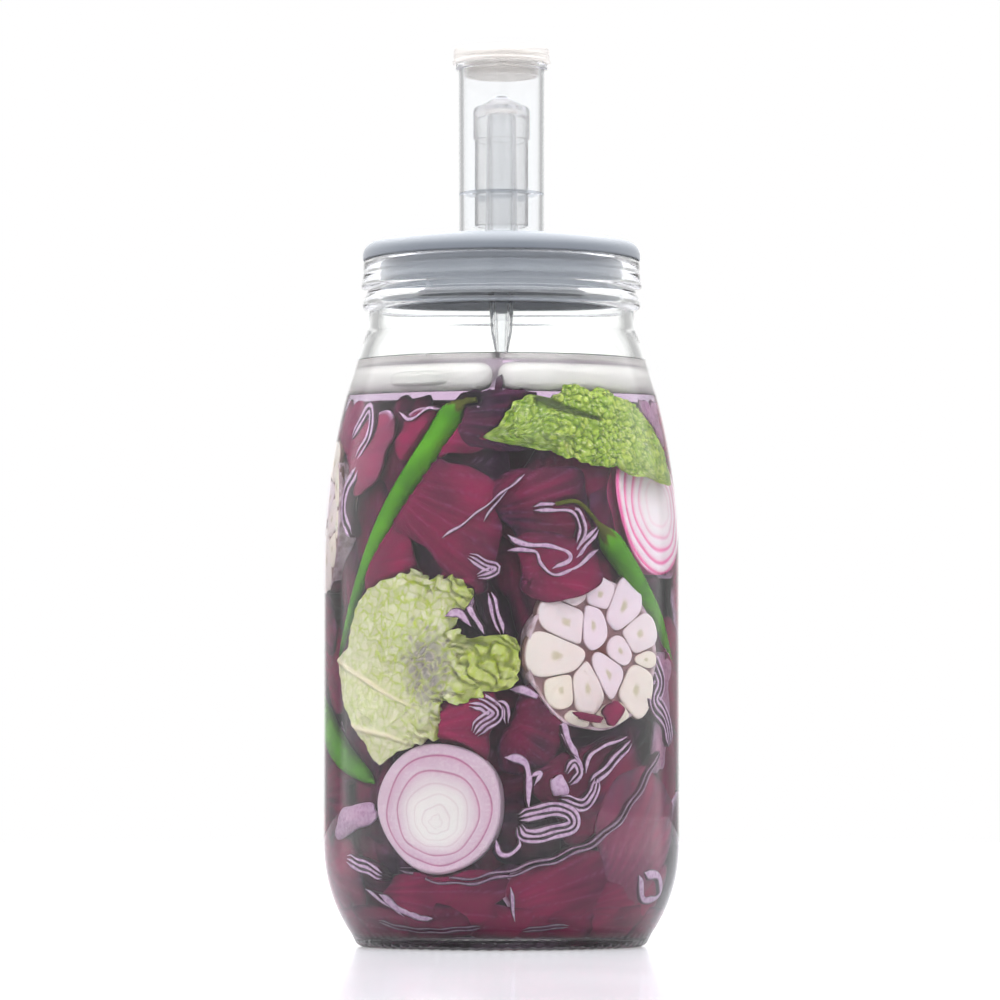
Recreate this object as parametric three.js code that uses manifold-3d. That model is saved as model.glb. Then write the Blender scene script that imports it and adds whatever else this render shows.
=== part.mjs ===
// A shut glass fermentation jar of about three litres: a silicone plug lid with a three-piece
// airlock, two ceramic half-moon weights, and red cabbage packed with onion, garlic, chillies
// and crinkled green leaves. Millimetres, +Z up. The origin is the centre of the base and -Y is the front.

import * as THREE from "three";
import { mergeVertices } from "three/addons/utils/BufferGeometryUtils.js";
import Module from "manifold-3d";

const wasm = await Module();
wasm.setup();

// Driving sizes

const CLEARANCE = 0.5; // kept between the pieces packed in the jar
const SEAT_GAP = 0.3; // kept where one piece stands on another

const JAR = {
  radius: 70,
  wall: 3.8,
  rimTop: 270,
  neckRadius: 52.6,
  neckBore: 48.6,
  neckFrom: 248,
  shoulderFrom: 150,
  shoulderTo: 238,
  shoulderArc: 260,
  heelTop: 40,
  heelFrom: 5,
  heelArc: 62,
  innerHeelFrom: 14,
  bearingInner: 46,
  bearingOuter: 54.5,
  kick: 3.5,
  floor: 8.2,
  floorCrown: 10,
  lowerBead: { radius: 54.9, from: 250.8, peak: 251.9, to: 256.8 },
  upperBand: { radius: 55.5, top: 54.7, from: 258.6, peak: 260 },
  segments: 36,
};

const LID = {
  radius: 54.8,
  underside: JAR.rimTop + SEAT_GAP,
  top: 277.6,
  edgeRound: 5.5,
  plugRadius: 47.2,
  plugBore: 42.4,
  plugBottom: 253.8,
  ribRadius: 48.1,
  ribHalf: 1.3,
  ribHeights: [266.5, 262, 257.5],
  webUnder: 271.6,
  bossRadius: 9.5,
  bossBottom: 267.5,
  hole: 6.4,
  segments: 32,
};

const AIRLOCK = {
  floorUnder: LID.top + SEAT_GAP,
  floorTop: 280.2,
  baseRadius: 16.8,
  topRadius: 17.05,
  wall: 1.7,
  flangeRadius: 18.2,
  flangeFrom: 346.3,
  top: 348.3,
  riserOuter: 6.4,
  riserBore: 4.4,
  riserTop: 330,
  stemRadius: 6,
  stemTip: 233,
  tipRadius: 2.4,
  tipBore: 1.5,
  segments: 24,
};

const DOME = {
  radius: 11.15,
  wall: 1.5,
  bottom: 284,
  shoulder: 331,
  crownUnder: AIRLOCK.riserTop + 0.4,
  top: 336,
  nubRadius: 3,
};

const CAP = {
  radius: 19,
  lipRadius: 19.5,
  bottom: AIRLOCK.top + SEAT_GAP,
  lipTop: 349.9,
  top: 354.5,
  web: 2,
  skirtBore: 16.4,
  plugOuter: 14.7,
  plugBore: 13,
  plugBottom: 343.5,
};

const WATER_LEVEL = 296;

const WEIGHT = {
  radius: 53.5,
  bottom: 214.3,
  top: 225.5,
  edgeRound: 4.6,
  cornerRound: 7,
  slit: 1.8,
  turn: -2.8,
};

const ONION = { radius: 26, depth: 21, ringCount: 3, groove: 0.5, segments: 20 };
const GARLIC = { radius: 29, depth: 21, skinRecess: 1.2, segments: 20 };
const CHILLI = { radius: 6.2, stemRadius: 1.4, stemShare: 0.16, calyxShare: 0.2 };
const GREEN_LEAF = { thickness: 1.4, ripple: 0.7 };
const CABBAGE = {
  coreInset: 21,
  coreFrom: 11.5,
  coreTo: 212,
  thickness: 1.8,
  pieces: 18,
  goldenAngle: 137.508,
};

const COLOUR = {
  glass: 0xe6eeee,
  silicone: 0x98a3ac,
  clearPlastic: 0xeef1f3,
  frostedPlastic: 0xe6e6e4,
  water: 0xe4eef2,
  ceramic: 0xe9e8e3,
  onion: 0xe0c3d6,
  garlic: 0xeadcd8,
  chilli: 0x5c9a2c,
  greenLeaf: 0x9cc047,
  cabbage: 0x6b2a4e,
};

// Profiles and solids

const degrees = THREE.MathUtils.degToRad;

// Points on a circular arc in the profile plane, with angles in degrees from the +radius side.
function arc(centreR, centreZ, radius, from, to, steps) {
  return Array.from({ length: steps + 1 }, (_, i) => {
    const angle = degrees(from + ((to - from) * i) / steps);
    return [centreR + radius * Math.cos(angle), centreZ + radius * Math.sin(angle)];
  });
}

// Points of a smooth corner from start to end that leaves and arrives towards the corner point.
function corner(start, middle, end, steps) {
  const [a, b, c] = [start, middle, end].map(([r, z]) => new THREE.Vector2(r, z));
  return new THREE.QuadraticBezierCurve(a, b, c).getPoints(steps).map((p) => [p.x, p.y]);
}

// A closed profile of [radius, height] pairs turned round the Z axis.
function turned(profile, segments) {
  const points = profile.map(([r, z]) => new THREE.Vector2(r, z));
  return new THREE.LatheGeometry(points, segments).rotateX(Math.PI / 2);
}

// A profile that closes on itself, so that the turned body has a hole along the axis.
const ring = (profile) => [...profile, profile[0]];

function solidOf(geometry) {
  const bare = new THREE.BufferGeometry();
  bare.setAttribute("position", geometry.getAttribute("position").clone());
  if (geometry.index) bare.setIndex(geometry.index.clone());
  const merged = mergeVertices(bare, 1e-3);
  return new wasm.Manifold(
    new wasm.Mesh({
      numProp: 3,
      vertProperties: new Float32Array(merged.attributes.position.array),
      triVerts: new Uint32Array(merged.index.array),
    }),
  );
}

function geometryOf(solid) {
  const { vertProperties, triVerts } = solid.getMesh();
  return new THREE.BufferGeometry()
    .setAttribute("position", new THREE.BufferAttribute(vertProperties, 3))
    .setIndex(new THREE.BufferAttribute(triVerts, 1));
}

const joined = (solids) => solids.reduce((whole, piece) => whole.add(piece));

const cutClear = (solid, keepOuts) => keepOuts.reduce((left, keep) => left.subtract(keep), solid);

// The largest body of a cut solid: loose scraps are dropped.
const mainBody = (solid) =>
  solid.decompose().reduce((best, body) => (body.volume() > best.volume() ? body : best));

function piece(name, geometry, colour, roughness) {
  const material = new THREE.MeshStandardMaterial({ color: colour, roughness, metalness: 0 });
  const mesh = new THREE.Mesh(geometry, material);
  mesh.name = name;
  return mesh;
}

// Glass jar

// Radius of the jar's inside at a height between the heel and the neck.
function innerRadius(height) {
  const { radius, wall, heelTop, heelArc, shoulderFrom, shoulderArc } = JAR;
  if (height < heelTop) {
    return radius - heelArc + Math.sqrt((heelArc - wall) ** 2 - (heelTop - height) ** 2);
  }
  if (height > shoulderFrom) {
    return radius - shoulderArc + Math.sqrt((shoulderArc - wall) ** 2 - (height - shoulderFrom) ** 2);
  }
  return radius - wall;
}

function jarGeometry() {
  const { radius, wall, rimTop, neckRadius, neckBore, neckFrom, lowerBead, upperBand } = JAR;
  const { shoulderFrom, shoulderTo, shoulderArc, heelTop, heelFrom, heelArc, innerHeelFrom } = JAR;
  const { bearingInner, bearingOuter, kick, floor, floorCrown } = JAR;
  const sine = (side, hypotenuse) => THREE.MathUtils.radToDeg(Math.asin(side / hypotenuse));
  const shoulderAngle = sine(shoulderTo - shoulderFrom, shoulderArc);
  const heelAngle = sine(heelFrom - heelTop, heelArc);
  const innerArc = shoulderArc - wall;
  const innerHeelArc = heelArc - wall;
  const innerNeckFrom = shoulderFrom + Math.sqrt(innerArc ** 2 - (neckBore + shoulderArc - radius) ** 2);
  const innerShoulderAngle = sine(innerNeckFrom - shoulderFrom, innerArc);
  const innerHeelAngle = sine(innerHeelFrom - heelTop, innerHeelArc);
  const heel = arc(radius - heelArc, heelTop, heelArc, heelAngle, 0, 4);
  const shoulder = arc(radius - shoulderArc, shoulderFrom, shoulderArc, 0, shoulderAngle, 5);
  const innerHeel = arc(radius - heelArc, heelTop, innerHeelArc, 0, innerHeelAngle, 3);
  const rimRound = 1;
  const outside = [
    ...corner([0, kick], [bearingInner * 0.7, kick], [bearingInner, 0], 2),
    ...corner([bearingOuter, 0], [bearingOuter + 3, 1], heel[0], 2).slice(0, -1),
    ...heel,
    ...shoulder,
    ...corner(shoulder.at(-1), [neckRadius, shoulderTo + 5.6], [neckRadius, neckFrom], 2).slice(1),
    [neckRadius + 0.4, lowerBead.from],
    [lowerBead.radius, lowerBead.peak],
    [lowerBead.radius - 0.6, lowerBead.to - 1.4],
    [neckRadius + 0.7, lowerBead.to],
    [neckRadius + 0.9, upperBand.from],
    [upperBand.radius, upperBand.peak],
    [upperBand.top, upperBand.peak + 4],
    [upperBand.top, rimTop - rimRound],
    [upperBand.top - rimRound, rimTop],
  ];
  const inside = [
    ...corner([neckBore + 2, rimTop], [neckBore, rimTop], [neckBore, rimTop - 3], 2),
    ...arc(radius - shoulderArc, shoulderFrom, innerArc, innerShoulderAngle, 0, 5),
    ...innerHeel,
    ...corner(innerHeel.at(-1), [innerHeel.at(-1)[0] - 4, floor], [bearingInner, floor], 2).slice(1),
    [0, floorCrown],
  ];
  return turned([...outside, ...inside], JAR.segments);
}

// Silicone plug lid

function lidGeometry() {
  const { radius, underside, top, edgeRound, plugRadius, plugBore, plugBottom } = LID;
  const { ribRadius, ribHalf, ribHeights, webUnder, bossRadius, bossBottom, hole } = LID;
  const ribs = ribHeights.flatMap((z) => [
    [plugRadius, z + ribHalf],
    [ribRadius, z],
    [plugRadius, z - ribHalf],
  ]);
  const profile = [
    [hole, bossBottom],
    [bossRadius, bossBottom],
    [bossRadius, webUnder],
    [plugBore, webUnder],
    [plugBore, plugBottom],
    [plugRadius - 0.8, plugBottom],
    ...ribs.reverse(),
    [plugRadius, underside],
    [radius, underside],
    ...arc(radius - edgeRound, top - edgeRound, edgeRound, 0, 90, 4),
    [hole, top],
  ];
  return turned(ring(profile), LID.segments);
}

// Airlock: chamber with riser and stem, floating dome, cap and water

function airlockGeometry() {
  const { floorUnder, floorTop, baseRadius, topRadius, wall, flangeRadius, flangeFrom, top } = AIRLOCK;
  const { riserOuter, riserBore, riserTop, stemRadius, stemTip, tipRadius, tipBore } = AIRLOCK;
  const profile = [
    [tipBore, stemTip],
    [tipRadius, stemTip],
    [stemRadius - 1.9, stemTip + 8.5],
    [stemRadius - 1, LID.plugBottom],
    [stemRadius, LID.bossBottom],
    [stemRadius, floorUnder],
    [baseRadius - 0.8, floorUnder],
    [baseRadius, floorUnder + 0.8],
    [topRadius, flangeFrom],
    [flangeRadius, flangeFrom],
    [flangeRadius, top],
    [topRadius - wall, top],
    [baseRadius - wall, floorTop],
    [riserOuter, floorTop],
    [riserOuter - 0.6, riserTop],
    [riserBore, riserTop],
    [riserBore, floorTop],
    [riserBore - 1, LID.bossBottom],
  ];
  return turned(ring(profile), AIRLOCK.segments);
}

function domeGeometry() {
  const { radius, wall, bottom, shoulder, crownUnder, top, nubRadius } = DOME;
  const profile = [
    [0, crownUnder],
    [radius - wall - 3, crownUnder],
    [radius - wall, crownUnder - 3],
    [radius - wall, bottom],
    [radius, bottom],
    [radius, shoulder - 2],
    ...corner([radius, shoulder], [radius - 1, shoulder + 2.2], [nubRadius, top - 1.2], 3),
    [nubRadius * 0.6, top - 0.3],
    [0, top],
  ];
  return turned(profile, AIRLOCK.segments);
}

function capGeometry() {
  const { radius, lipRadius, bottom, lipTop, top, web, skirtBore, plugOuter, plugBore, plugBottom } = CAP;
  const profile = [
    [0, top - web],
    [plugBore, top - web],
    [plugBore, plugBottom],
    [plugOuter, plugBottom],
    [plugOuter, top - web],
    [skirtBore, top - web],
    [skirtBore, bottom],
    [lipRadius, bottom],
    [lipRadius, lipTop - 0.6],
    [radius, lipTop],
    ...corner([radius, top - 1.2], [radius, top], [radius - 1.2, top], 2),
    [0, top],
  ];
  return turned(profile, AIRLOCK.segments);
}

// The water ring stands round the riser and lets the dome's skirt hang in a groove.
function waterGeometry() {
  const inner = AIRLOCK.riserOuter + CLEARANCE;
  const outer = AIRLOCK.baseRadius - AIRLOCK.wall - CLEARANCE;
  const domeInner = DOME.radius - DOME.wall - CLEARANCE;
  const domeOuter = DOME.radius + CLEARANCE;
  const grooveFloor = DOME.bottom - CLEARANCE;
  const floor = AIRLOCK.floorTop + SEAT_GAP;
  const profile = [
    [inner, floor],
    [outer, floor],
    [outer, WATER_LEVEL],
    [domeOuter, WATER_LEVEL],
    [domeOuter, grooveFloor],
    [domeInner, grooveFloor],
    [domeInner, WATER_LEVEL],
    [inner, WATER_LEVEL],
  ];
  return turned(ring(profile), AIRLOCK.segments);
}

// Ceramic weights

// A half-moon slab with rounded edges, its straight side facing a slit along the Y axis.
function weightGeometry(side) {
  const { radius, bottom, top, edgeRound, cornerRound, slit } = WEIGHT;
  const reach = radius - edgeRound;
  const flat = slit / 2 + edgeRound;
  const end = Math.sqrt(reach ** 2 - (flat + cornerRound) ** 2);
  const tip = Math.atan2(end, flat + cornerRound);
  const outline = new THREE.Shape();
  outline.moveTo(flat, -end + cornerRound);
  outline.quadraticCurveTo(flat, -end, flat + cornerRound, -end);
  outline.absarc(0, 0, reach, -tip, tip, false);
  outline.quadraticCurveTo(flat, end, flat, end - cornerRound);
  const slab = new THREE.ExtrudeGeometry(outline, {
    depth: top - bottom - 2 * edgeRound,
    bevelThickness: edgeRound,
    bevelSize: edgeRound,
    bevelSegments: 2,
    curveSegments: 7,
  });
  if (side < 0) slab.rotateZ(Math.PI);
  return slab.translate(0, 0, bottom + edgeRound).rotateZ(degrees(WEIGHT.turn));
}

// Places on the jar's inside

// Outward direction at an azimuth in degrees: 0 is the front, and + turns to the right of it.
function outward(azimuth) {
  return new THREE.Vector3(Math.sin(degrees(azimuth)), -Math.cos(degrees(azimuth)), 0);
}

// A point at an azimuth and height, set in from the glass.
function wallPoint(azimuth, height, inset) {
  return outward(azimuth).multiplyScalar(innerRadius(height) - inset).setZ(height);
}

// Turns a half vegetable, its cut face in XY and facing +Z, to show that face through the glass.
function facingGlass(geometry, { azimuth, height, radius, inset = 1, lean = 0, spin = 0 }) {
  const out = outward(azimuth);
  const up = new THREE.Vector3(0, 0, 1);
  const across = new THREE.Vector3().crossVectors(up, out);
  const depth = Math.sqrt((innerRadius(height) - inset) ** 2 - radius ** 2);
  const placed = new THREE.Matrix4().makeBasis(across, up, out);
  placed.setPosition(out.clone().multiplyScalar(depth).setZ(height));
  return geometry.rotateZ(degrees(spin)).rotateX(degrees(-lean)).applyMatrix4(placed);
}

// Vegetables

// Half an onion: the cut face has a shallow groove between its layers.
function onionGeometry(grow = 0) {
  const { depth, ringCount, groove, segments } = ONION;
  const radius = ONION.radius + grow;
  const face = [[0, grow]];
  for (let i = 1; i <= ringCount; i++) {
    const edge = (radius * (i + 0.4)) / (ringCount + 1);
    face.push([edge - 0.6, grow], [edge, grow - groove], [edge + 0.3, grow]);
  }
  const back = arc(0, 0, 1, 0, -90, 5).map(([r, z]) => [r * radius, z * (depth + grow)]);
  back[0][1] = grow - 1;
  back.at(-1)[0] = 0;
  return turned([...back.reverse(), ...face.reverse()], segments);
}

// The cloves of a cut bulb: direction, inner and outer reach as shares of its radius, half-angle.
const CLOVES = [
  { at: 142, from: 0.1, to: 0.88, half: 19 },
  { at: 182, from: 0.1, to: 0.92, half: 19 },
  { at: 218, from: 0.5, to: 0.9, half: 13 },
  { at: 254, from: 0.12, to: 0.93, half: 14 },
  { at: 300, from: 0.14, to: 0.66, half: 19 },
  { at: 286, from: 0.7, to: 0.97, half: 12 },
  { at: 320, from: 0.62, to: 0.97, half: 16 },
  { at: 350, from: 0.68, to: 0.97, half: 9 },
  { at: 352, from: 0.18, to: 0.62, half: 18 },
  { at: 20, from: 0.52, to: 0.95, half: 15 },
  { at: 56, from: 0.48, to: 0.96, half: 15 },
  { at: 86, from: 0.6, to: 0.92, half: 12 },
  { at: 95, from: 0.14, to: 0.56, half: 19 },
];

// Half a bulb of garlic: clove ends stand a little proud of the skin that holds them.
function garlicGeometry(grow = 0) {
  const { depth, skinRecess, segments } = GARLIC;
  const radius = GARLIC.radius + grow;
  const back = arc(0, -skinRecess, 1, 0, -90, 4).map(([r, z]) => [
    r * radius,
    (z + skinRecess) * (depth + grow) - skinRecess,
  ]);
  back.at(-1)[0] = 0;
  const skin = turned([...back.reverse(), [0, grow - skinRecess]], segments);
  if (grow > 0) return turned([...back, [radius, grow], [0, grow]], segments);
  const cloves = CLOVES.map(({ at, from, to, half }) => {
    const outline = new THREE.Shape(
      arc(0, 0, 1, 0, 315, 7).map(([x, y]) => {
        const angle = degrees(at + half * y);
        const reach = radius * ((from + to) / 2 + ((to - from) / 2) * x);
        return new THREE.Vector2(reach * Math.cos(angle), reach * Math.sin(angle));
      }),
    );
    const sunk = 2 * skinRecess;
    return new THREE.ExtrudeGeometry(outline, { depth: sunk, bevelEnabled: false }).translate(0, 0, -sunk);
  });
  return geometryOf(mainBody(joined([skin, ...cloves].map(solidOf))));
}

// A closed body of round section that follows a curve, with its radius given along the length.
function alongCurve(curve, radiusAt, radialSegments, steps) {
  const body = new THREE.SphereGeometry(1, radialSegments, steps);
  const { normals, binormals } = curve.computeFrenetFrames(steps);
  const position = body.getAttribute("position");
  for (let i = 0; i < position.count; i++) {
    const row = Math.floor(i / (radialSegments + 1));
    const angle = (2 * Math.PI * (i % (radialSegments + 1))) / radialSegments;
    const radius = row === 0 || row === steps ? 0 : radiusAt(row / steps);
    const point = curve
      .getPointAt(row / steps)
      .addScaledVector(normals[row], radius * Math.cos(angle))
      .addScaledVector(binormals[row], -radius * Math.sin(angle));
    position.setXYZ(i, point.x, point.y, point.z);
  }
  return body;
}

// A chilli from its stem to its tip, along places given as [azimuth, height, inset].
function chilliGeometry(places, grow = 0) {
  const { radius, stemRadius, stemShare, calyxShare } = CHILLI;
  const curve = new THREE.CatmullRomCurve3(places.map((place) => wallPoint(...place)));
  const radiusAt = (share) => {
    if (share < stemShare) return stemRadius + grow;
    const along = Math.max(0, (share - calyxShare) / (1 - calyxShare));
    return radius * (1 - 0.82 * along ** 1.6) * (share < calyxShare ? 0.75 : 1) + grow;
  };
  return alongCurve(curve, radiusAt, 7, 16);
}

// A thin sheet between two alike grids: at(u, v, side) gives a point, u and v from -1 to 1.
function sheet(columns, rows, at) {
  const across = columns + 1;
  const count = across * (rows + 1);
  const points = [1, -1].flatMap((side) =>
    Array.from({ length: count }, (_, i) => {
      const u = (2 * (i % across)) / columns - 1;
      const v = (2 * Math.floor(i / across)) / rows - 1;
      return at(u, v, side);
    }),
  );
  const index = [];
  const quad = (a, b, c, d) => index.push(a, b, c, a, c, d);
  for (let row = 0; row < rows; row++) {
    for (let column = 0; column < columns; column++) {
      const a = row * across + column;
      const [b, c, d] = [a + 1, a + 1 + across, a + across];
      quad(a, b, c, d);
      index.push(count + a, count + c, count + b, count + a, count + d, count + c);
    }
  }
  const rim = (a, b) => quad(b, a, count + a, count + b);
  for (let column = 0; column < columns; column++) {
    rim(column, column + 1);
    rim(count - 1 - column, count - 2 - column);
  }
  for (let row = 0; row < rows; row++) {
    rim((row + 1) * across - 1, (row + 2) * across - 1);
    rim((rows - row) * across, (rows - row - 1) * across);
  }
  return new THREE.BufferGeometry().setFromPoints(points).setIndex(index);
}

// Maps a square of -1 to 1 onto a disc, so that a grid fills a rounded leaf.
const squareToDisc = (u, v) => [u * Math.sqrt(1 - (v * v) / 2), v * Math.sqrt(1 - (u * u) / 2)];

// A crinkled green leaf that lies on the glass, wavy and lobed, its slope in millimetres across its width.
function greenLeafGeometry({ azimuth, height, halfAngle, halfHeight, slope, taper, inset }, grow = 0) {
  const { thickness, ripple } = GREEN_LEAF;
  return sheet(12, 8, (u, v, side) => {
    const [x, y] = squareToDisc(u, v);
    const turn = Math.atan2(y, x);
    const lobes = 1 + 0.07 * Math.sin(5 * turn + 1) + 0.05 * Math.sin(9 * turn) + grow / halfHeight;
    const narrow = 1 + taper * x;
    const z = height + halfHeight * y * lobes * narrow - slope * x;
    const wave = ripple * Math.sin(4 * x + 1) * Math.cos(3 * y);
    const depth = inset + thickness / 2 + ripple + wave - side * (thickness / 2 + grow);
    return wallPoint(azimuth + halfAngle * x * lobes, z, depth);
  });
}

// Red cabbage: piece i of an even spread over the wall, by the golden angle.
function cabbagePiece(i) {
  const { coreFrom, coreTo, pieces, goldenAngle } = CABBAGE;
  const share = (i + 0.5) / pieces;
  return {
    azimuth: i * goldenAngle,
    height: THREE.MathUtils.lerp(coreFrom + 14, coreTo - 14, share),
    length: 24 + 6 * Math.sin(2.3 * i),
    roll: degrees(70 * Math.sin(1.7 * i)),
    lies: i % 2 === 0,
  };
}

// A leaf patch lying near the glass, or a leaf standing on edge that runs in to the core.
function cabbageLeafGeometry({ azimuth, height, length, roll, lies }) {
  const { thickness, coreInset, coreFrom, coreTo } = CABBAGE;
  const half = thickness / 2;
  const place = (along, aside, inset) => {
    const z = height + along * Math.sin(roll) + aside * Math.cos(roll);
    const arcLength = along * Math.cos(roll) - aside * Math.sin(roll);
    const inside = THREE.MathUtils.clamp(z, coreFrom + half, coreTo - half);
    return wallPoint(azimuth + THREE.MathUtils.radToDeg(arcLength / JAR.radius), inside, inset);
  };
  if (lies) {
    return sheet(4, 3, (u, v, side) => {
      const [x, y] = squareToDisc(u, v);
      const sag = 16 * (x * x) ** 2 + 2 * Math.sin(3 * y);
      return place(length * x, 0.6 * length * y, 3.5 + sag - side * half);
    });
  }
  return sheet(6, 1, (u, v, side) => {
    const wave = 4 * Math.sin(4 * u) + side * half;
    return place(length * u, wave, CLEARANCE + 1 + ((v + 1) / 2) * coreInset);
  });
}

// The packed cabbage: a core with the leaves that show fused on, cut clear of what lies in it.
function cabbageGeometry(keepOuts) {
  const { coreInset, coreFrom, coreTo, pieces } = CABBAGE;
  const levels = 7;
  const side = Array.from({ length: levels + 1 }, (_, i) => {
    const height = THREE.MathUtils.lerp(coreFrom, coreTo, i / levels);
    const uneven = 2.5 * Math.sin(2.1 * i);
    return [innerRadius(Math.max(height, JAR.innerHeelFrom)) - coreInset + uneven, height];
  });
  const core = turned([[0, coreFrom], ...side, [0, coreTo]], 18);
  const leaves = Array.from({ length: pieces }, (_, i) => cabbageLeafGeometry(cabbagePiece(i)));
  const heap = joined([core, ...leaves].map(solidOf));
  return geometryOf(mainBody(cutClear(heap, keepOuts)));
}

// Where each vegetable lies: azimuth in degrees from the front, heights and insets in millimetres

const ONIONS = {
  onion_front: { azimuth: -21.5, height: 54.5, radius: ONION.radius, spin: 20 },
  onion_side: { azimuth: 71, height: 171, radius: ONION.radius, inset: 4.5, lean: 10 },
};
const GARLICS = {
  garlic_front: { azimuth: 34.5, height: 113.5, radius: GARLIC.radius },
  garlic_side: { azimuth: -97, height: 168, radius: GARLIC.radius, spin: 100 },
};
const CHILLIES = {
  chilli_left: [[-10, 211, 6], [-17, 209, 7], [-26, 196, 7], [-44, 168, 7], [-60, 140, 7], [-75, 112, 7]],
  chilli_right: [[27, 170, 4], [33, 167, 5], [41, 157, 7], [57, 140, 7], [70, 127, 7], [86, 106, 7]],
  chilli_low: [[-128, 128, 4], [-122, 122, 6], [-112, 110, 7], [-96, 92, 7], [-74, 76, 8], [-55, 66, 12]],
};
const LEAVES = {
  green_leaf_right: { azimuth: 38, height: 194, halfAngle: 42, halfHeight: 17, slope: 5, taper: 0.35, inset: 0.8 },
  green_leaf_left: { azimuth: -31, height: 112, halfAngle: 39, halfHeight: 36, slope: -3, taper: -0.3, inset: 0.8 },
};

const jar = new THREE.Group();
jar.add(piece("jar", jarGeometry(), COLOUR.glass, 0.05));
jar.add(piece("lid", lidGeometry(), COLOUR.silicone, 0.6));
jar.add(piece("airlock_body", airlockGeometry(), COLOUR.clearPlastic, 0.1));
jar.add(piece("airlock_dome", domeGeometry(), COLOUR.frostedPlastic, 0.3));
jar.add(piece("airlock_cap", capGeometry(), COLOUR.frostedPlastic, 0.4));
jar.add(piece("airlock_water", waterGeometry(), COLOUR.water, 0.05));
jar.add(piece("weight_left", weightGeometry(-1), COLOUR.ceramic, 0.3));
jar.add(piece("weight_right", weightGeometry(1), COLOUR.ceramic, 0.3));

// The halves, chillies and leaves go in first, and each leaves a keep-out for what is packed round it.
const keepOuts = [];
for (const [name, place] of Object.entries(ONIONS)) {
  jar.add(piece(name, facingGlass(onionGeometry(), place), COLOUR.onion, 0.5));
  keepOuts.push(solidOf(facingGlass(onionGeometry(CLEARANCE), place)));
}
for (const [name, place] of Object.entries(GARLICS)) {
  jar.add(piece(name, facingGlass(garlicGeometry(), place), COLOUR.garlic, 0.5));
  keepOuts.push(solidOf(facingGlass(garlicGeometry(CLEARANCE), place)));
}
for (const [name, places] of Object.entries(CHILLIES)) {
  const fruit = mainBody(cutClear(solidOf(chilliGeometry(places)), keepOuts));
  jar.add(piece(name, geometryOf(fruit), COLOUR.chilli, 0.35));
}
keepOuts.push(...Object.values(CHILLIES).map((places) => solidOf(chilliGeometry(places, CLEARANCE))));
const leafKeepOuts = [];
for (const [name, place] of Object.entries(LEAVES)) {
  const leaf = mainBody(cutClear(solidOf(greenLeafGeometry(place)), keepOuts));
  jar.add(piece(name, geometryOf(leaf), COLOUR.greenLeaf, 0.5));
  leafKeepOuts.push(solidOf(greenLeafGeometry(place, CLEARANCE)));
}
jar.add(piece("red_cabbage", cabbageGeometry([...keepOuts, ...leafKeepOuts]), COLOUR.cabbage, 0.5));

export default jar;
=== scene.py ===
"""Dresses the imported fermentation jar.

The turned pieces are made smooth again, the vegetables get their skins, veins and cut edges, and the
brine, which has no solid of its own, is added. Sizes are in millimetres until a mesh is written, and an
azimuth is in degrees round the jar's axis: 0 is the front and + turns to the right of it.
"""

import logging
import math
from dataclasses import dataclass, field
from enum import Enum

import bmesh
import bpy
import numpy as np
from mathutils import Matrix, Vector


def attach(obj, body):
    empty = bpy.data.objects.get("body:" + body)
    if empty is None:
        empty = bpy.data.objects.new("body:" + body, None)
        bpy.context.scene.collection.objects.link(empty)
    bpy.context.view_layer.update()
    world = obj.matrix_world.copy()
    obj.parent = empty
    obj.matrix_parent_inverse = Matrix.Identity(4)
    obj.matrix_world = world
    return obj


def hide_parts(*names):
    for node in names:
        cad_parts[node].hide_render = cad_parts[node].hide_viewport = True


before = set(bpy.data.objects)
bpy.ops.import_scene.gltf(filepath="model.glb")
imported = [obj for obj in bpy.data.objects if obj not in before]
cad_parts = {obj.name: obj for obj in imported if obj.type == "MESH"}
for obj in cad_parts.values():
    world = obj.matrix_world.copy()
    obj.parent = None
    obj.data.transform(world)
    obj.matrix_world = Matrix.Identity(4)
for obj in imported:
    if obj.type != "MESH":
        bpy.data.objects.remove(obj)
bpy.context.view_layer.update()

Array = np.ndarray
Colour = tuple[float, float, float]
Points = list[tuple[float, float]]

MM = 0.001
BODY = "root"
LOG = logging.getLogger("fermentation_jar")
WHITE: Colour = (1.0, 1.0, 1.0)
BLACK: Colour = (0.0, 0.0, 0.0)
GLASS_IOR = 1.5
PLASTIC_IOR = 1.49
WATER_IOR = 1.33
# Specular level of a surface that lies in brine
UNDER_BRINE = 0.08
# Longer than any distance in the jar
FAR = 1e9
# Points that are closer than this in metres become one
MERGE_WITHIN = 1e-7


def srgb(red: float, green: float, blue: float) -> Colour:
    """A colour given in 0 to 255 screen values, as linear light."""
    shares = np.array((red, green, blue)) / 255
    linear = np.where(shares > 0.04045, ((shares + 0.055) / 1.055) ** 2.4, shares / 12.92)
    return tuple(float(v) for v in linear)


# Shader expressions


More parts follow.
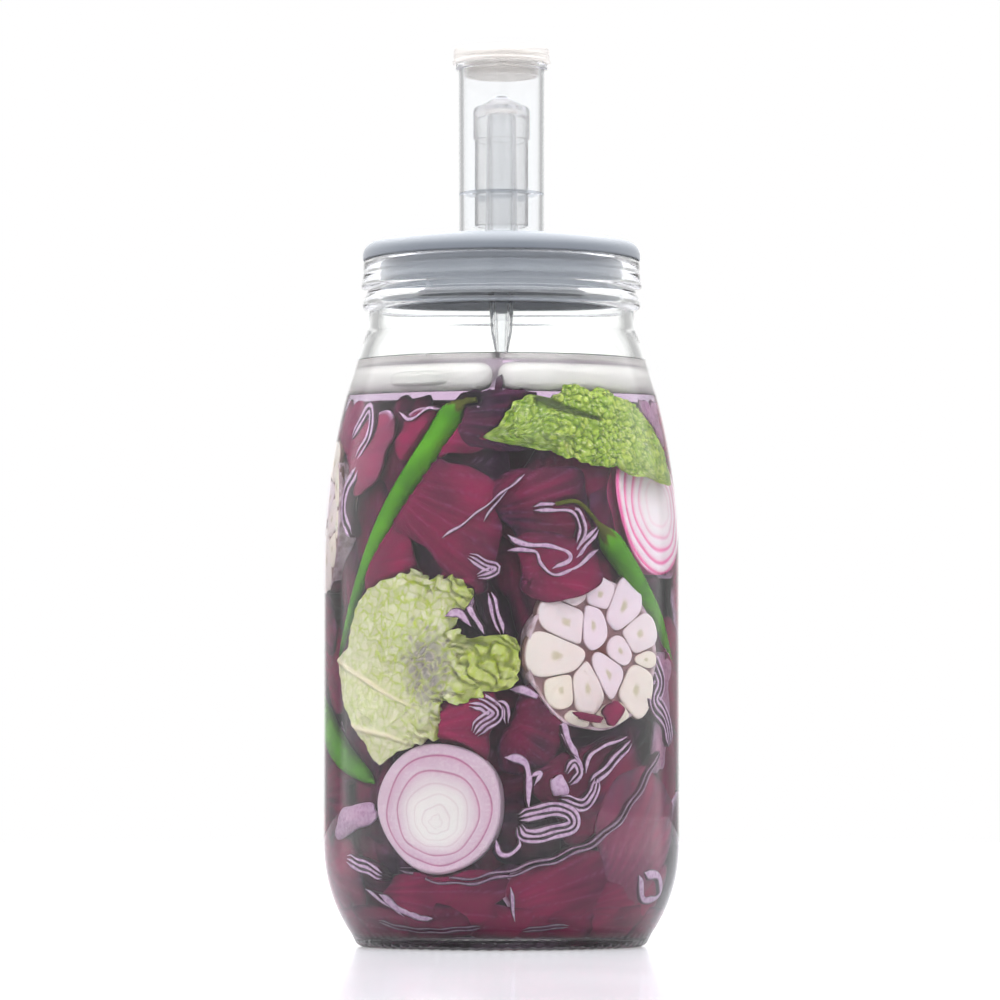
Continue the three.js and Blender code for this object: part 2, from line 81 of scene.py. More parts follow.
class Value:
    """A shader socket that takes part in Python arithmetic."""

    def __init__(self, nodes: "Nodes", socket: bpy.types.NodeSocket) -> None:
        """Keeps the socket and the tree that new nodes go into."""
        self.nodes = nodes
        self.socket = socket

    def _math(self, operation: str, first: "Value | float", second: "Value | float" = 0.0) -> "Value":
        """Result of a new Math node."""
        return self.nodes.value("ShaderNodeMath", {"operation": operation}, {0: first, 1: second})

    def __add__(self, other: "Value | float") -> "Value":
        """Sum of two values."""
        return self._math("ADD", self, other)

    __radd__ = __add__

    def __sub__(self, other: "Value | float") -> "Value":
        """Difference of two values."""
        return self._math("SUBTRACT", self, other)

    def __rsub__(self, other: float) -> "Value":
        """Difference from a number."""
        return self._math("SUBTRACT", other, self)

    def __mul__(self, other: "Value | float") -> "Value":
        """Product of two values."""
        return self._math("MULTIPLY", self, other)

    __rmul__ = __mul__

    def arctan2(self, other: "Value | float") -> "Value":
        """Angle in radians of this value over another."""
        return self._math("ARCTAN2", self, other)

    def at_most(self, limit: "Value | float") -> "Value":
        """The value or the limit, whichever is smaller."""
        return self._math("MINIMUM", self, limit)

    def size(self) -> "Value":
        """Value without its sign."""
        return self._math("ABSOLUTE", self)

    def step(self, low: float, high: float) -> "Value":
        """Smooth step from 0 at low to 1 at high."""
        settings = {"interpolation_type": "SMOOTHSTEP"}
        return self.nodes.value("ShaderNodeMapRange", settings, {0: self, 1: low, 2: high, 3: 0.0, 4: 1.0})

    def edge(self, middle: float, softness: float) -> "Value":
        """Smooth step from 0 to 1 over a softness on both sides of a middle."""
        return self.step(middle - softness, middle + softness)


class Nodes:
    """A node tree that is written as expressions."""

    MIX_A, MIX_B, MIX_RESULT = 6, 7, 2

    def __init__(self, tree: bpy.types.NodeTree) -> None:
        """Keeps the tree."""
        self.tree = tree

    def node(self, kind: str, settings: dict | None = None, inputs: dict | None = None) -> bpy.types.Node:
        """Adds a node.

        Args:
            kind: the node's type.
            settings: its own settings, set before its sockets.
            inputs: numbers, colours, values or sockets by input name or index.

        Returns:
            The new node.
        """
        made = self.tree.nodes.new(kind)
        for name, setting in (settings or {}).items():
            setattr(made, name, setting)
        for key, given in (inputs or {}).items():
            self.feed(made.inputs[key], given)
        return made

    def value(self, kind: str, settings: dict | None = None, inputs: dict | None = None) -> Value:
        """First output of a new node, as a value."""
        return Value(self, self.node(kind, settings, inputs).outputs[0])

    def feed(self, socket: bpy.types.NodeSocket, given: object) -> None:
        """Links or sets a socket.

        Args:
            socket: the input to feed.
            given: a value, another socket, a number or a colour.
        """
        if isinstance(given, Value):
            self.tree.links.new(given.socket, socket)
        elif isinstance(given, bpy.types.NodeSocket):
            self.tree.links.new(given, socket)
        elif socket.type == "RGBA" and len(given) == 3:
            socket.default_value = (*given, 1.0)
        else:
            socket.default_value = given

    def mix(self, share: Value | float, low: object, high: object) -> bpy.types.NodeSocket:
        """Blend of two colours or colour sockets, by a share of 0 for the low and 1 for the high one."""
        inputs = {0: share, self.MIX_A: low, self.MIX_B: high}
        return self.node("ShaderNodeMix", {"data_type": "RGBA"}, inputs).outputs[self.MIX_RESULT]

    def attribute(self, name: str) -> Value:
        """A value that the mesh stores at its points."""
        made = self.node("ShaderNodeAttribute", {"attribute_name": name})
        return Value(self, made.outputs["Fac"])

    def noise(self, scale: float, detail: float = 3.0) -> Value:
        """Noise from 0 to 1 in the object's own space, with scale in waves per metre."""
        place = self.node("ShaderNodeTexCoord").outputs["Object"]
        inputs = {"Vector": place, "Scale": scale, "Detail": detail}
        return Value(self, self.node("ShaderNodeTexNoise", {}, inputs).outputs[0])


class Shader(Nodes):
    """A material built on one Principled shader."""

    def __init__(self, name: str) -> None:
        """Makes the material under its name."""
        self.material = bpy.data.materials.new(name)
        self.material.use_nodes = True
        super().__init__(self.material.node_tree)
        self.principled = self.tree.nodes["Principled BSDF"]

    def dress(self, **sockets: object) -> None:
        """Feeds the Principled shader's sockets, named with _ for a space."""
        for name, given in sockets.items():
            self.feed(self.principled.inputs[name.replace("_", " ").title().replace("Ior", "IOR")], given)

    def bump(self, height: Value, depth: float) -> None:
        """Raises the surface by a height of 0 to 1 that stands for a depth in millimetres."""
        made = self.node("ShaderNodeBump", {}, {"Strength": 1.0, "Distance": depth * MM, "Height": height})
        self.feed(self.principled.inputs["Normal"], made.outputs[0])

    def absorb(self, colour: Colour, density: float) -> None:
        """Fills the body with an even tint, with density in 1 per metre."""
        output = self.tree.nodes["Material Output"]
        made = self.node("ShaderNodeVolumeAbsorption", {}, {"Color": colour, "Density": density})
        self.tree.links.new(made.outputs[0], output.inputs["Volume"])

    def soak(self, share: float, depths: Colour, scale: float) -> None:
        """Lets a share of the light in, as deep as its red, green and blue go, at a scale in millimetres."""
        self.dress(subsurface_weight=share, subsurface_radius=depths, subsurface_scale=scale * MM)


# Finishes


@dataclass(frozen=True)
class Finish:
    """A named material that each kind of finish paints in its own way."""

    name: str

    def paint(self, shader: Shader) -> None:
        """Feeds the finish to a shader."""
        raise NotImplementedError

    def material(self) -> bpy.types.Material:
        """The finish as a material."""
        shader = Shader(self.name)
        self.paint(shader)
        return shader.material


@dataclass(frozen=True)
class ClearFinish(Finish):
    """Glass, clear plastic or a liquid.

    Attributes:
        ior: index of refraction.
        tint: colour of what passes the surface.
        roughness: 0 for a polished surface.
        shade: colour that the body takes with depth, if any.
        density: how fast it does, in 1 per metre.
        gloss: colour of the mirror image, which is black on a face that is only a joint to glass.
    """

    ior: float
    tint: Colour = WHITE
    roughness: float = 0.0
    shade: Colour | None = None
    density: float = 0.0
    gloss: Colour = WHITE

    def paint(self, shader: Shader) -> None:
        """Feeds the finish to a shader."""
        shader.dress(base_color=self.tint, roughness=self.roughness, ior=self.ior)
        shader.dress(transmission_weight=1.0, specular_tint=self.gloss)
        if self.shade:
            shader.absorb(self.shade, self.density)


@dataclass(frozen=True)
class MilkyFinish(Finish):
    """Moulded plastic that lets light through but not a clear view."""

    colour: Colour
    clearness: float
    roughness: float

    def paint(self, shader: Shader) -> None:
        """Feeds the finish to a shader."""
        flow = shader.noise(160.0)
        shader.dress(base_color=self.colour, ior=PLASTIC_IOR, transmission_weight=self.clearness)
        shader.dress(roughness=self.roughness + 0.08 * flow)


@dataclass(frozen=True)
class SiliconeFinish(Finish):
    """Matte silicone with a faint bloom; the plug in the neck is painted lighter, as painted light against
    its shade.
    """

    name: str = "grey_silicone"
    colour: Colour = srgb(66, 72, 80)
    bloom: Colour = srgb(74, 79, 86)
    # Painted light: the plug lies in the glass neck's shade, so it is given this lighter colour.
    plug: Colour = srgb(130, 135, 144)

    def paint(self, shader: Shader) -> None:
        """Feeds the finish to a shader."""
        cloud = shader.noise(90.0)
        grain = shader.noise(2600.0, 1.0)
        outside = shader.mix(cloud, self.colour, self.bloom)
        shader.dress(base_color=shader.mix(shader.attribute("plug"), outside, self.plug))
        shader.dress(roughness=0.46 + 0.1 * cloud, sheen_weight=0.15, sheen_roughness=0.5)
        shader.bump(grain, 0.006)


@dataclass(frozen=True)
class GlazeFinish(Finish):
    """White glaze over stoneware."""

    name: str = "white_glaze"
    colour: Colour = srgb(218, 218, 215)
    shadow: Colour = srgb(211, 210, 207)

    def paint(self, shader: Shader) -> None:
        """Feeds the finish to a shader."""
        cloud = shader.noise(60.0)
        pits = shader.noise(700.0, 2.0)
        shader.dress(base_color=shader.mix(cloud, self.colour, self.shadow), roughness=0.16 + 0.1 * cloud)
        shader.dress(specular_ior_level=0.2, coat_weight=0.1, coat_roughness=0.08)
        shader.bump(pits, 0.03)


@dataclass(frozen=True)
class OnionFinish(Finish):
    """Cut onion: flesh with a line of skin colour at each layer's edge.

    Attributes:
        flesh: colour of the layers near the rim.
        heart: colour of the innermost layers.
        line: colour of the layers' edges.
        skin: colour of the uncut outside.
        stain: share of the line's colour in the flesh beside it.
    """

    flesh: Colour
    heart: Colour
    line: Colour
    skin: Colour
    stain: float

    def paint(self, shader: Shader) -> None:
        """Feeds the finish to a shader."""
        line, blush, rind, layer = map(shader.attribute, ("line", "blush", "rind", "layer"))
        fibre = shader.noise(900.0, 2.0)
        flesh = shader.mix(layer.step(0.3, 0.8), self.heart, self.flesh)
        flesh = shader.mix(self.stain * blush, flesh, self.line)
        flesh = shader.mix(0.25 * fibre.step(0.45, 0.75), flesh, self.heart)
        cut = shader.mix(line, flesh, self.line)
        shader.dress(base_color=shader.mix(rind, cut, self.skin), roughness=0.32 + 0.2 * fibre)
        shader.soak(0.12, (1.0, 0.7, 0.8), 1.2)
        shader.dress(specular_ior_level=UNDER_BRINE)
        shader.bump(fibre, 0.06)


@dataclass(frozen=True)
class GarlicFinish(Finish):
    """Cut garlic: cloves with a germ, in thin skins."""

    name: str = "cut_garlic"
    clove: Colour = srgb(255, 238, 247)
    cream: Colour = srgb(254, 246, 226)
    germ: Colour = srgb(206, 198, 160)
    edge: Colour = srgb(122, 66, 64)
    skin: Colour = srgb(226, 204, 216)

    def paint(self, shader: Shader) -> None:
        """Feeds the finish to a shader."""
        warm, germ, rim, rind = map(shader.attribute, ("warm", "germ", "rim", "rind"))
        wet = shader.noise(420.0, 3.0)
        flesh = shader.mix(warm, self.clove, self.cream)
        flesh = shader.mix(0.1 * wet, flesh, self.skin)
        flesh = shader.mix(germ, flesh, self.germ)
        flesh = shader.mix(rim, flesh, self.edge)
        streak = shader.noise(240.0, 4.0)
        paper = shader.mix(0.5 * streak.step(0.4, 0.65), self.skin, self.edge)
        shader.dress(base_color=shader.mix(rind, flesh, paper), roughness=0.3 + 0.25 * wet)
        shader.soak(0.15, (1.0, 0.7, 0.6), 1.2)
        shader.dress(specular_ior_level=UNDER_BRINE)
        shader.bump(wet, 0.08)


@dataclass(frozen=True)
class ChilliFinish(Finish):
    """Smooth green chilli with an olive calyx and stem."""

    name: str = "green_chilli"
    skin: Colour = srgb(92, 168, 16)
    shade: Colour = srgb(62, 128, 10)
    stem: Colour = srgb(88, 92, 30)

    def paint(self, shader: Shader) -> None:
        """Feeds the finish to a shader."""
        stem = shader.attribute("stem")
        cloud = shader.noise(55.0, 2.0)
        skin = shader.mix(cloud.step(0.3, 0.75), self.skin, self.shade)
        shader.dress(base_color=shader.mix(stem, skin, self.stem), roughness=0.3 + 0.3 * stem)
        shader.dress(specular_ior_level=UNDER_BRINE)
        shader.bump(cloud, 0.1)


@dataclass(frozen=True)
class CrinkledLeafFinish(Finish):
    """Blistered green leaf with a net of veins.

    Attributes:
        blister: colour of the raised cells.
        deep: colour of the darkest cells.
        vein: colour of the net between them.
        pale: colour of the ribs, the leaf's white part and its painted highlights.
        fold: colour painted as shade in the fold and between the ruffles.
        gloss: strength of its wet highlights.
        glassy: colour of its clear spot.
    """

    blister: Colour
    deep: Colour
    vein: Colour
    pale: Colour
    fold: Colour
    gloss: float
    glassy: Colour = srgb(130, 118, 124)

    def paint(self, shader: Shader) -> None:
        """Feeds the finish to a shader."""
        cloud = shader.noise(130.0, 3.0)
        cell = shader.mix(0.7 * shader.attribute("cell") + 0.3 * cloud, self.blister, self.deep)
        # The green values also carry painted shade, on the bright leaf's left tip.
        leaf = shader.mix(0.8 * shader.attribute("green"), cell, self.vein)
        leaf = shader.mix(shader.attribute("vein"), leaf, self.vein)
        leaf = shader.mix(shader.attribute("clear"), leaf, self.glassy)
        leaf = shader.mix(shader.attribute("pale"), leaf, self.pale)
        # Painted shade: the fold and the gaps between the ruffles are darkened in colour.
        leaf = shader.mix(shader.attribute("shade"), leaf, self.fold)
        shader.dress(base_color=leaf, roughness=0.1 + 0.16 * cloud, specular_ior_level=self.gloss)
        shader.soak(0.1, (0.7, 1.0, 0.3), 0.8)
        shader.bump(shader.noise(1500.0, 1.0), 0.05)


@dataclass(frozen=True)
class CabbageFinish(Finish):
    """Wet red cabbage: wine-coloured skin and pale cut edges."""

    name: str = "red_cabbage"
    deep: Colour = srgb(50, 25, 50)
    bright: Colour = srgb(158, 16, 80)
    flesh: Colour = srgb(214, 184, 214)
    rib: Colour = srgb(164, 112, 166)

    def paint(self, shader: Shader) -> None:
        """Feeds the finish to a shader."""
        pale, tone, rib = map(shader.attribute, ("pale", "tone", "rib"))
        cloud = shader.noise(48.0, 3.0)
        fine = shader.noise(620.0, 1.0)
        skin = shader.mix(tone * (0.75 + 0.25 * cloud.step(0.35, 0.65)), self.deep, self.bright)
        skin = shader.mix(0.35 * rib, skin, self.rib)
        flesh = shader.mix(0.5 * fine.step(0.4, 0.7), self.flesh, self.rib)
        shader.dress(base_color=shader.mix(pale, skin, flesh), roughness=0.36 + 0.25 * fine)
        shader.dress(specular_ior_level=UNDER_BRINE)
        shader.bump(shader.noise(150.0, 1.0), 0.12)


@dataclass(frozen=True)
class FloorFinish(Finish):
    """Pale glossy table that glows a little, as a light table does."""

    name: str = "pale_floor"
    colour: Colour = srgb(127, 127, 132)
    glow: float = 0.23

    def paint(self, shader: Shader) -> None:
        """Feeds the finish to a shader."""
        cloud = shader.noise(6.0, 2.0)
        shader.dress(base_color=self.colour, roughness=0.1 + 0.06 * cloud, specular_ior_level=0.18)
        shader.dress(emission_color=WHITE, emission_strength=self.glow)


# Shapes


@dataclass
class Shape:
    """Points in millimetres, faces and point values of a mesh that isn't an object yet."""

    points: Array
    quads: Array
    triangles: Array = field(default_factory=lambda: np.zeros((0, 3), int))
    values: dict[str, Array] = field(default_factory=dict)

    @staticmethod
    def joined(shapes: list["Shape"]) -> "Shape":
        """One shape of several that store the same values."""
        starts = np.cumsum([0, *[len(s.points) for s in shapes[:-1]]])
        return Shape(
            np.concatenate([s.points for s in shapes]),
            np.concatenate([s.quads + start for s, start in zip(shapes, starts)]),
            np.concatenate([s.triangles + start for s, start in zip(shapes, starts)]),
            {name: np.concatenate([s.values[name] for s in shapes]) for name in shapes[0].values},
        )

    def piece(self, name: str, material: bpy.types.Material, slot: str, *nodes: str) -> None:
        """Makes the shape an object that rides on the jar.

        Args:
            name: the object's name.
            material: its finish.
            slot: the record's material slot, which is not used.
            nodes: the solids that it stands for.
        """
        mesh = bpy.data.meshes.new(name)
        faces = [*self.triangles.tolist(), *self.quads.tolist()]
        mesh.from_pydata((self.points * MM).tolist(), [], faces)
        for key, stored in self.values.items():
            mesh.attributes.new(key, "FLOAT", "POINT").data.foreach_set("value", stored.astype(np.float32))
        shaped = bmesh.new()
        shaped.from_mesh(mesh)
        bmesh.ops.remove_doubles(shaped, verts=shaped.verts, dist=MERGE_WITHIN)
        bmesh.ops.recalc_face_normals(shaped, faces=shaped.faces)
        shaped.to_mesh(mesh)
        shaped.free()
        mesh.shade_smooth()
        mesh.materials.append(material)
        made = bpy.data.objects.new(name, mesh)
        bpy.context.scene.collection.objects.link(made)
        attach(made, BODY)
        if nodes:
            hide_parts(*nodes)
        LOG.info("%s: %d faces", name, len(mesh.polygons))


def grid(rows: int, columns: int, wrap_rows: bool = False, wrap_columns: bool = False) -> Array:
    """Quads of a grid of points.

    Args:
        rows: number of rows of points.
        columns: number of points in a row.
        wrap_rows: whether the last row joins the first.
        wrap_columns: whether each row closes on itself.

    Returns:
        Four point numbers for each face.
    """
    row = np.arange(rows if wrap_rows else rows - 1)[:, None]
    column = np.arange(columns if wrap_columns else columns - 1)[None, :]
    next_row = (row + 1) % rows
    next_column = (column + 1) % columns
    corners = (row * columns + column, row * columns + next_column,
               next_row * columns + next_column, next_row * columns + column)
    return np.stack(np.broadcast_arrays(*corners), axis=-1).reshape(-1, 4)


def capped(rings: Array, first: tuple | Array, last: tuple | Array, **values: Array) -> Shape:
    """A closed body of rings of points.

    Args:
        rings: its points, by ring, place in the ring and coordinate.
        first: the point that closes the first ring.
        last: the point that closes the last ring.
        values: point values, ring by ring and then of the two closing points.

    Returns:
        The body.
    """
    rows, columns = rings.shape[:2]
    count = rows * columns
    ring = np.arange(columns)
    following = np.roll(ring, -1)
    top = count - columns
    low = np.stack((np.full(columns, count), following, ring), axis=-1)
    high = np.stack((np.full(columns, count + 1), ring + top, following + top), axis=-1)
    points = np.concatenate((rings.reshape(-1, 3), np.array((first, last))))
    return Shape(points, grid(rows, columns, False, True), np.concatenate((low, high)), values)


def spun(x: Array, y: Array, angle: float) -> tuple[Array, Array]:
    """Coordinates in a plane that is turned counter-clockwise by an angle in radians."""
    return x * math.cos(angle) - y * math.sin(angle), x * math.sin(angle) + y * math.cos(angle)


def polar(reach: Array, turn: Array) -> tuple[Array, Array]:
    """Coordinates at a reach in a direction given in radians."""
    return reach * np.cos(turn), reach * np.sin(turn)


def bell(distance: Array, width: float | Array, power: int = 2) -> Array:
    """1 at no distance, which falls off over a width."""
    return np.exp(-((distance / width) ** power))


def dome(share: Array) -> Array:
    """Height of half a ball of radius 1 at shares of the way to its rim."""
    return np.sqrt(np.clip(1 - share**2, 0, 1))


def bent(start: Array, corner: Array, end: Array, share: Array) -> Array:
    """Points of the curve from start to end that a corner pulls, at shares of its way."""
    return (1 - share) ** 2 * start + 2 * share * (1 - share) * corner + share**2 * end


class Profile:
    """An outline in the plane of radius and height that is turned round the jar's axis."""

    ROUNDING_POINTS = 6

    def __init__(self) -> None:
        """Starts an empty outline."""
        self.corners: list[tuple[float, float, float]] = []

    def to(self, radius: float, height: float, rounding: float = 0.0) -> "Profile":
        """Runs the outline to a corner that is rounded off over a length."""
        self.corners.append((radius, height, rounding))
        return self

    def along(self, points: Array) -> "Profile":
        """Runs the outline along given points."""
        for radius, height in points:
            self.to(radius, height)
        return self

    def outline(self, closed: bool) -> Array:
        """The outline with its corners rounded off.

        Args:
            closed: whether the last corner joins the first.

        Returns:
            Points as radius and height.
        """
        corners = np.array(self.corners)
        made: list[Array] = []
        count = len(corners)
        steps = np.linspace(0, 1, self.ROUNDING_POINTS)[:, None]
        for i, (radius, height, rounding) in enumerate(corners):
            here = np.array((radius, height))
            if rounding == 0 or (not closed and i in (0, count - 1)):
                made.append(here[None, :])
                continue
            before = corners[i - 1, :2] - here
            after = corners[(i + 1) % count, :2] - here
            start = here + before * min(0.5, rounding / np.hypot(*before))
            end = here + after * min(0.5, rounding / np.hypot(*after))
            made.append(bent(start, here, end, steps))
        return np.concatenate(made)

    def turned(self, segments: int, closed: bool = True) -> Shape:
        """The body that the outline makes when it is turned.

        Args:
            segments: number of steps round the axis.
            closed: whether the outline closes on itself, clear of the axis.

        Returns:
            The turned shape.
        """
        outline = self.outline(closed)
        angle = np.linspace(0, 2 * np.pi, segments, endpoint=False)[:, None]
        points = np.stack(np.broadcast_arrays(
            outline[:, 0] * np.sin(angle), -outline[:, 0] * np.cos(angle), outline[:, 1]), axis=-1)
        return Shape(points.reshape(-1, 3), grid(segments, len(outline), True, closed))


def arc(centre: tuple[float, float], radius: float, start: float, end: float, steps: int) -> Array:
    """Points of an arc in the profile plane, with its angles in degrees from the outward direction."""
    angle = np.radians(np.linspace(start, end, steps + 1))
    return np.array(centre) + radius * np.stack((np.cos(angle), np.sin(angle)), axis=-1)


def smooth_curve(points: Array, count: int) -> Array:
    """A smooth curve through a few points.

    Args:
        points: the points that it passes, one a row.
        count: number of points along the curve.

    Returns:
        Points at even parameter steps.
    """
    ends = np.concatenate([2 * points[:1] - points[1:2], points, 2 * points[-1:] - points[-2:-1]])
    place = np.linspace(0, len(points) - 1 - 1e-9, count)
    index = place.astype(int)
    t = (place - index)[:, None]
    a, b, c, d = (ends[index + k] for k in range(4))
    return 0.5 * (2 * b + (c - a) * t + (2 * a - 5 * b + 4 * c - d) * t**2 + (3 * b - a - 3 * c + d) * t**3)


def ripple(across: Array, up: Array, pitch: float, seed: int) -> Array:
    """An even unrest of about -1 to 1 over a plane.

    Args:
        across: first coordinate.
        up: second coordinate.
        pitch: its mean wavelength.
        seed: number that settles its random directions.

    Returns:
        The unrest at each point.
    """
    waves = 6
    draw = np.random.default_rng(seed)
    total = np.zeros(np.broadcast(across, up).shape)
    for _ in range(waves):
        turn, phase = draw.uniform(0, 2 * np.pi, 2)
        wave = 2 * np.pi / (pitch * draw.uniform(0.6, 1.6))
        total = total + np.sin(wave * (across * np.cos(turn) + up * np.sin(turn)) + phase)
    return 2 * total / waves


def scatter(number: Array) -> Array:
    """A chance of 0 to 1 that each number always gives."""
    return np.modf(np.abs(np.sin(number) * 43758.5))[0]


def cells(across: Array, up: Array, pitch: float, seed: int) -> tuple[Array, Array, Array]:
    """Distances to the two nearest points of an uneven grid.

    Args:
        across: first coordinate.
        up: second coordinate.
        pitch: the grid's spacing.
        seed: number that settles how the points are shifted.

    Returns:
        Distance to the nearest point, distance to the next, and the nearest one's own chance of 0 to 1.
    """
    nearest = np.full(across.shape, FAR)
    second = np.full(across.shape, FAR)
    chance = np.zeros(across.shape)
    column, row = np.floor(across / pitch), np.floor(up / pitch)
    for down in (-1, 0, 1):
        for side in (-1, 0, 1):
            c, r = column + side, row + down
            shift_c = scatter(c * 127.1 + r * 311.7 + seed)
            shift_r = scatter(c * 269.5 + r * 183.3 + seed)
            distance = np.hypot((c + shift_c) * pitch - across, (r + shift_r) * pitch - up)
            second = np.minimum(second, np.maximum(nearest, distance))
            chance = np.where(distance < nearest, shift_c, chance)
            nearest = np.minimum(nearest, distance)
    return nearest, second, chance


def off_route(route: Array, across: Array, up: Array) -> tuple[Array, Array]:
    """Where points lie by a route of straight runs.

    Args:
        route: the route's points, one a row.
        across: first coordinate.
        up: second coordinate.

    Returns:
        Distance from the route, and share of the way along it.
    """
    distance, share = np.full(across.shape, FAR), np.zeros(across.shape)
    runs = len(route) - 1
    for i, (here, step) in enumerate(zip(route[:-1], np.diff(route, axis=0))):
        along = np.clip(((across - here[0]) * step[0] + (up - here[1]) * step[1]) / (step @ step), 0, 1)
        gap = np.hypot(across - here[0] - along * step[0], up - here[1] - along * step[1])
        share = np.where(gap < distance, (i + along) / runs, share)
        distance = np.minimum(distance, gap)
    return distance, share


def smooth_step(low: float, high: float, x: Array) -> Array:
    """Smooth step from 0 at low to 1 at high."""
    t = np.clip((x - low) / (high - low), 0, 1)
    return t * t * (3 - 2 * t)


@dataclass(frozen=True)
class Disc:
    """A round grid of rings and spokes, for a sheet whose back keeps one ring in skip."""

    rings: int
    spokes: int
    skip: int = 1

    def reach(self) -> Array:
        """Share of the way to the rim of each point."""
        return np.concatenate(([0.0], np.repeat(np.arange(1, self.rings + 1) / self.rings, self.spokes)))

    def turn(self) -> Array:
        """Direction of each point in radians."""
        angle = np.linspace(0, 2 * np.pi, self.spokes, endpoint=False)
        return np.concatenate(([0.0], np.tile(angle, self.rings)))

    def faces(self) -> tuple[Array, Array]:
        """Quads and triangles of one side."""
        first = 1 + np.arange(self.spokes)
        fan = np.stack((np.zeros(self.spokes, int), first, np.roll(first, -1)), axis=-1)
        return 1 + grid(self.rings, self.spokes, False, True), fan

    def deepest(self, depth: Array) -> Array:
        """Depths for a back of fewer rings that stays behind its front.

        Args:
            depth: depth of each point of the front.

        Returns:
            The largest depth on each spoke as far as the next rings that are kept.
        """
        skip = self.skip
        rings = np.pad(depth[1:].reshape(self.rings, self.spokes), ((skip, skip), (0, 0)), mode="edge")
        largest = np.max([rings[i:i + self.rings] for i in range(2 * skip + 1)], axis=0)
        return np.concatenate(([largest[:skip].max()], largest.ravel()))

    def sheet(self, front: Array, back: Array, **values: Array) -> Shape:
        """A closed sheet whose back has no more rings than it needs, counted from the rim.

        Args:
            front: points of the front.
            back: points of the back.
            values: point values that both faces share.

        Returns:
            The sheet.
        """
        quads, fan = self.faces()
        count = len(front)
        ring_points = np.arange(1, count).reshape(self.rings, self.spokes)
        kept = np.concatenate(([0], ring_points[::-self.skip][::-1].ravel()))
        back_quads, back_fan = Disc(-(-self.rings // self.skip), self.spokes).faces()
        last = ring_points[-1]
        back_last = count + len(kept) - self.spokes + np.arange(self.spokes)
        rim = np.stack((last, back_last, np.roll(back_last, -1), np.roll(last, -1)), axis=-1)
        return Shape(
            np.concatenate((front, back[kept])),
            np.concatenate((quads, back_quads[:, ::-1] + count, rim)),
            np.concatenate((fan, back_fan[:, ::-1] + count)),
            {name: np.concatenate((stored, stored[kept])) for name, stored in values.items()},
        )


# Glass jar


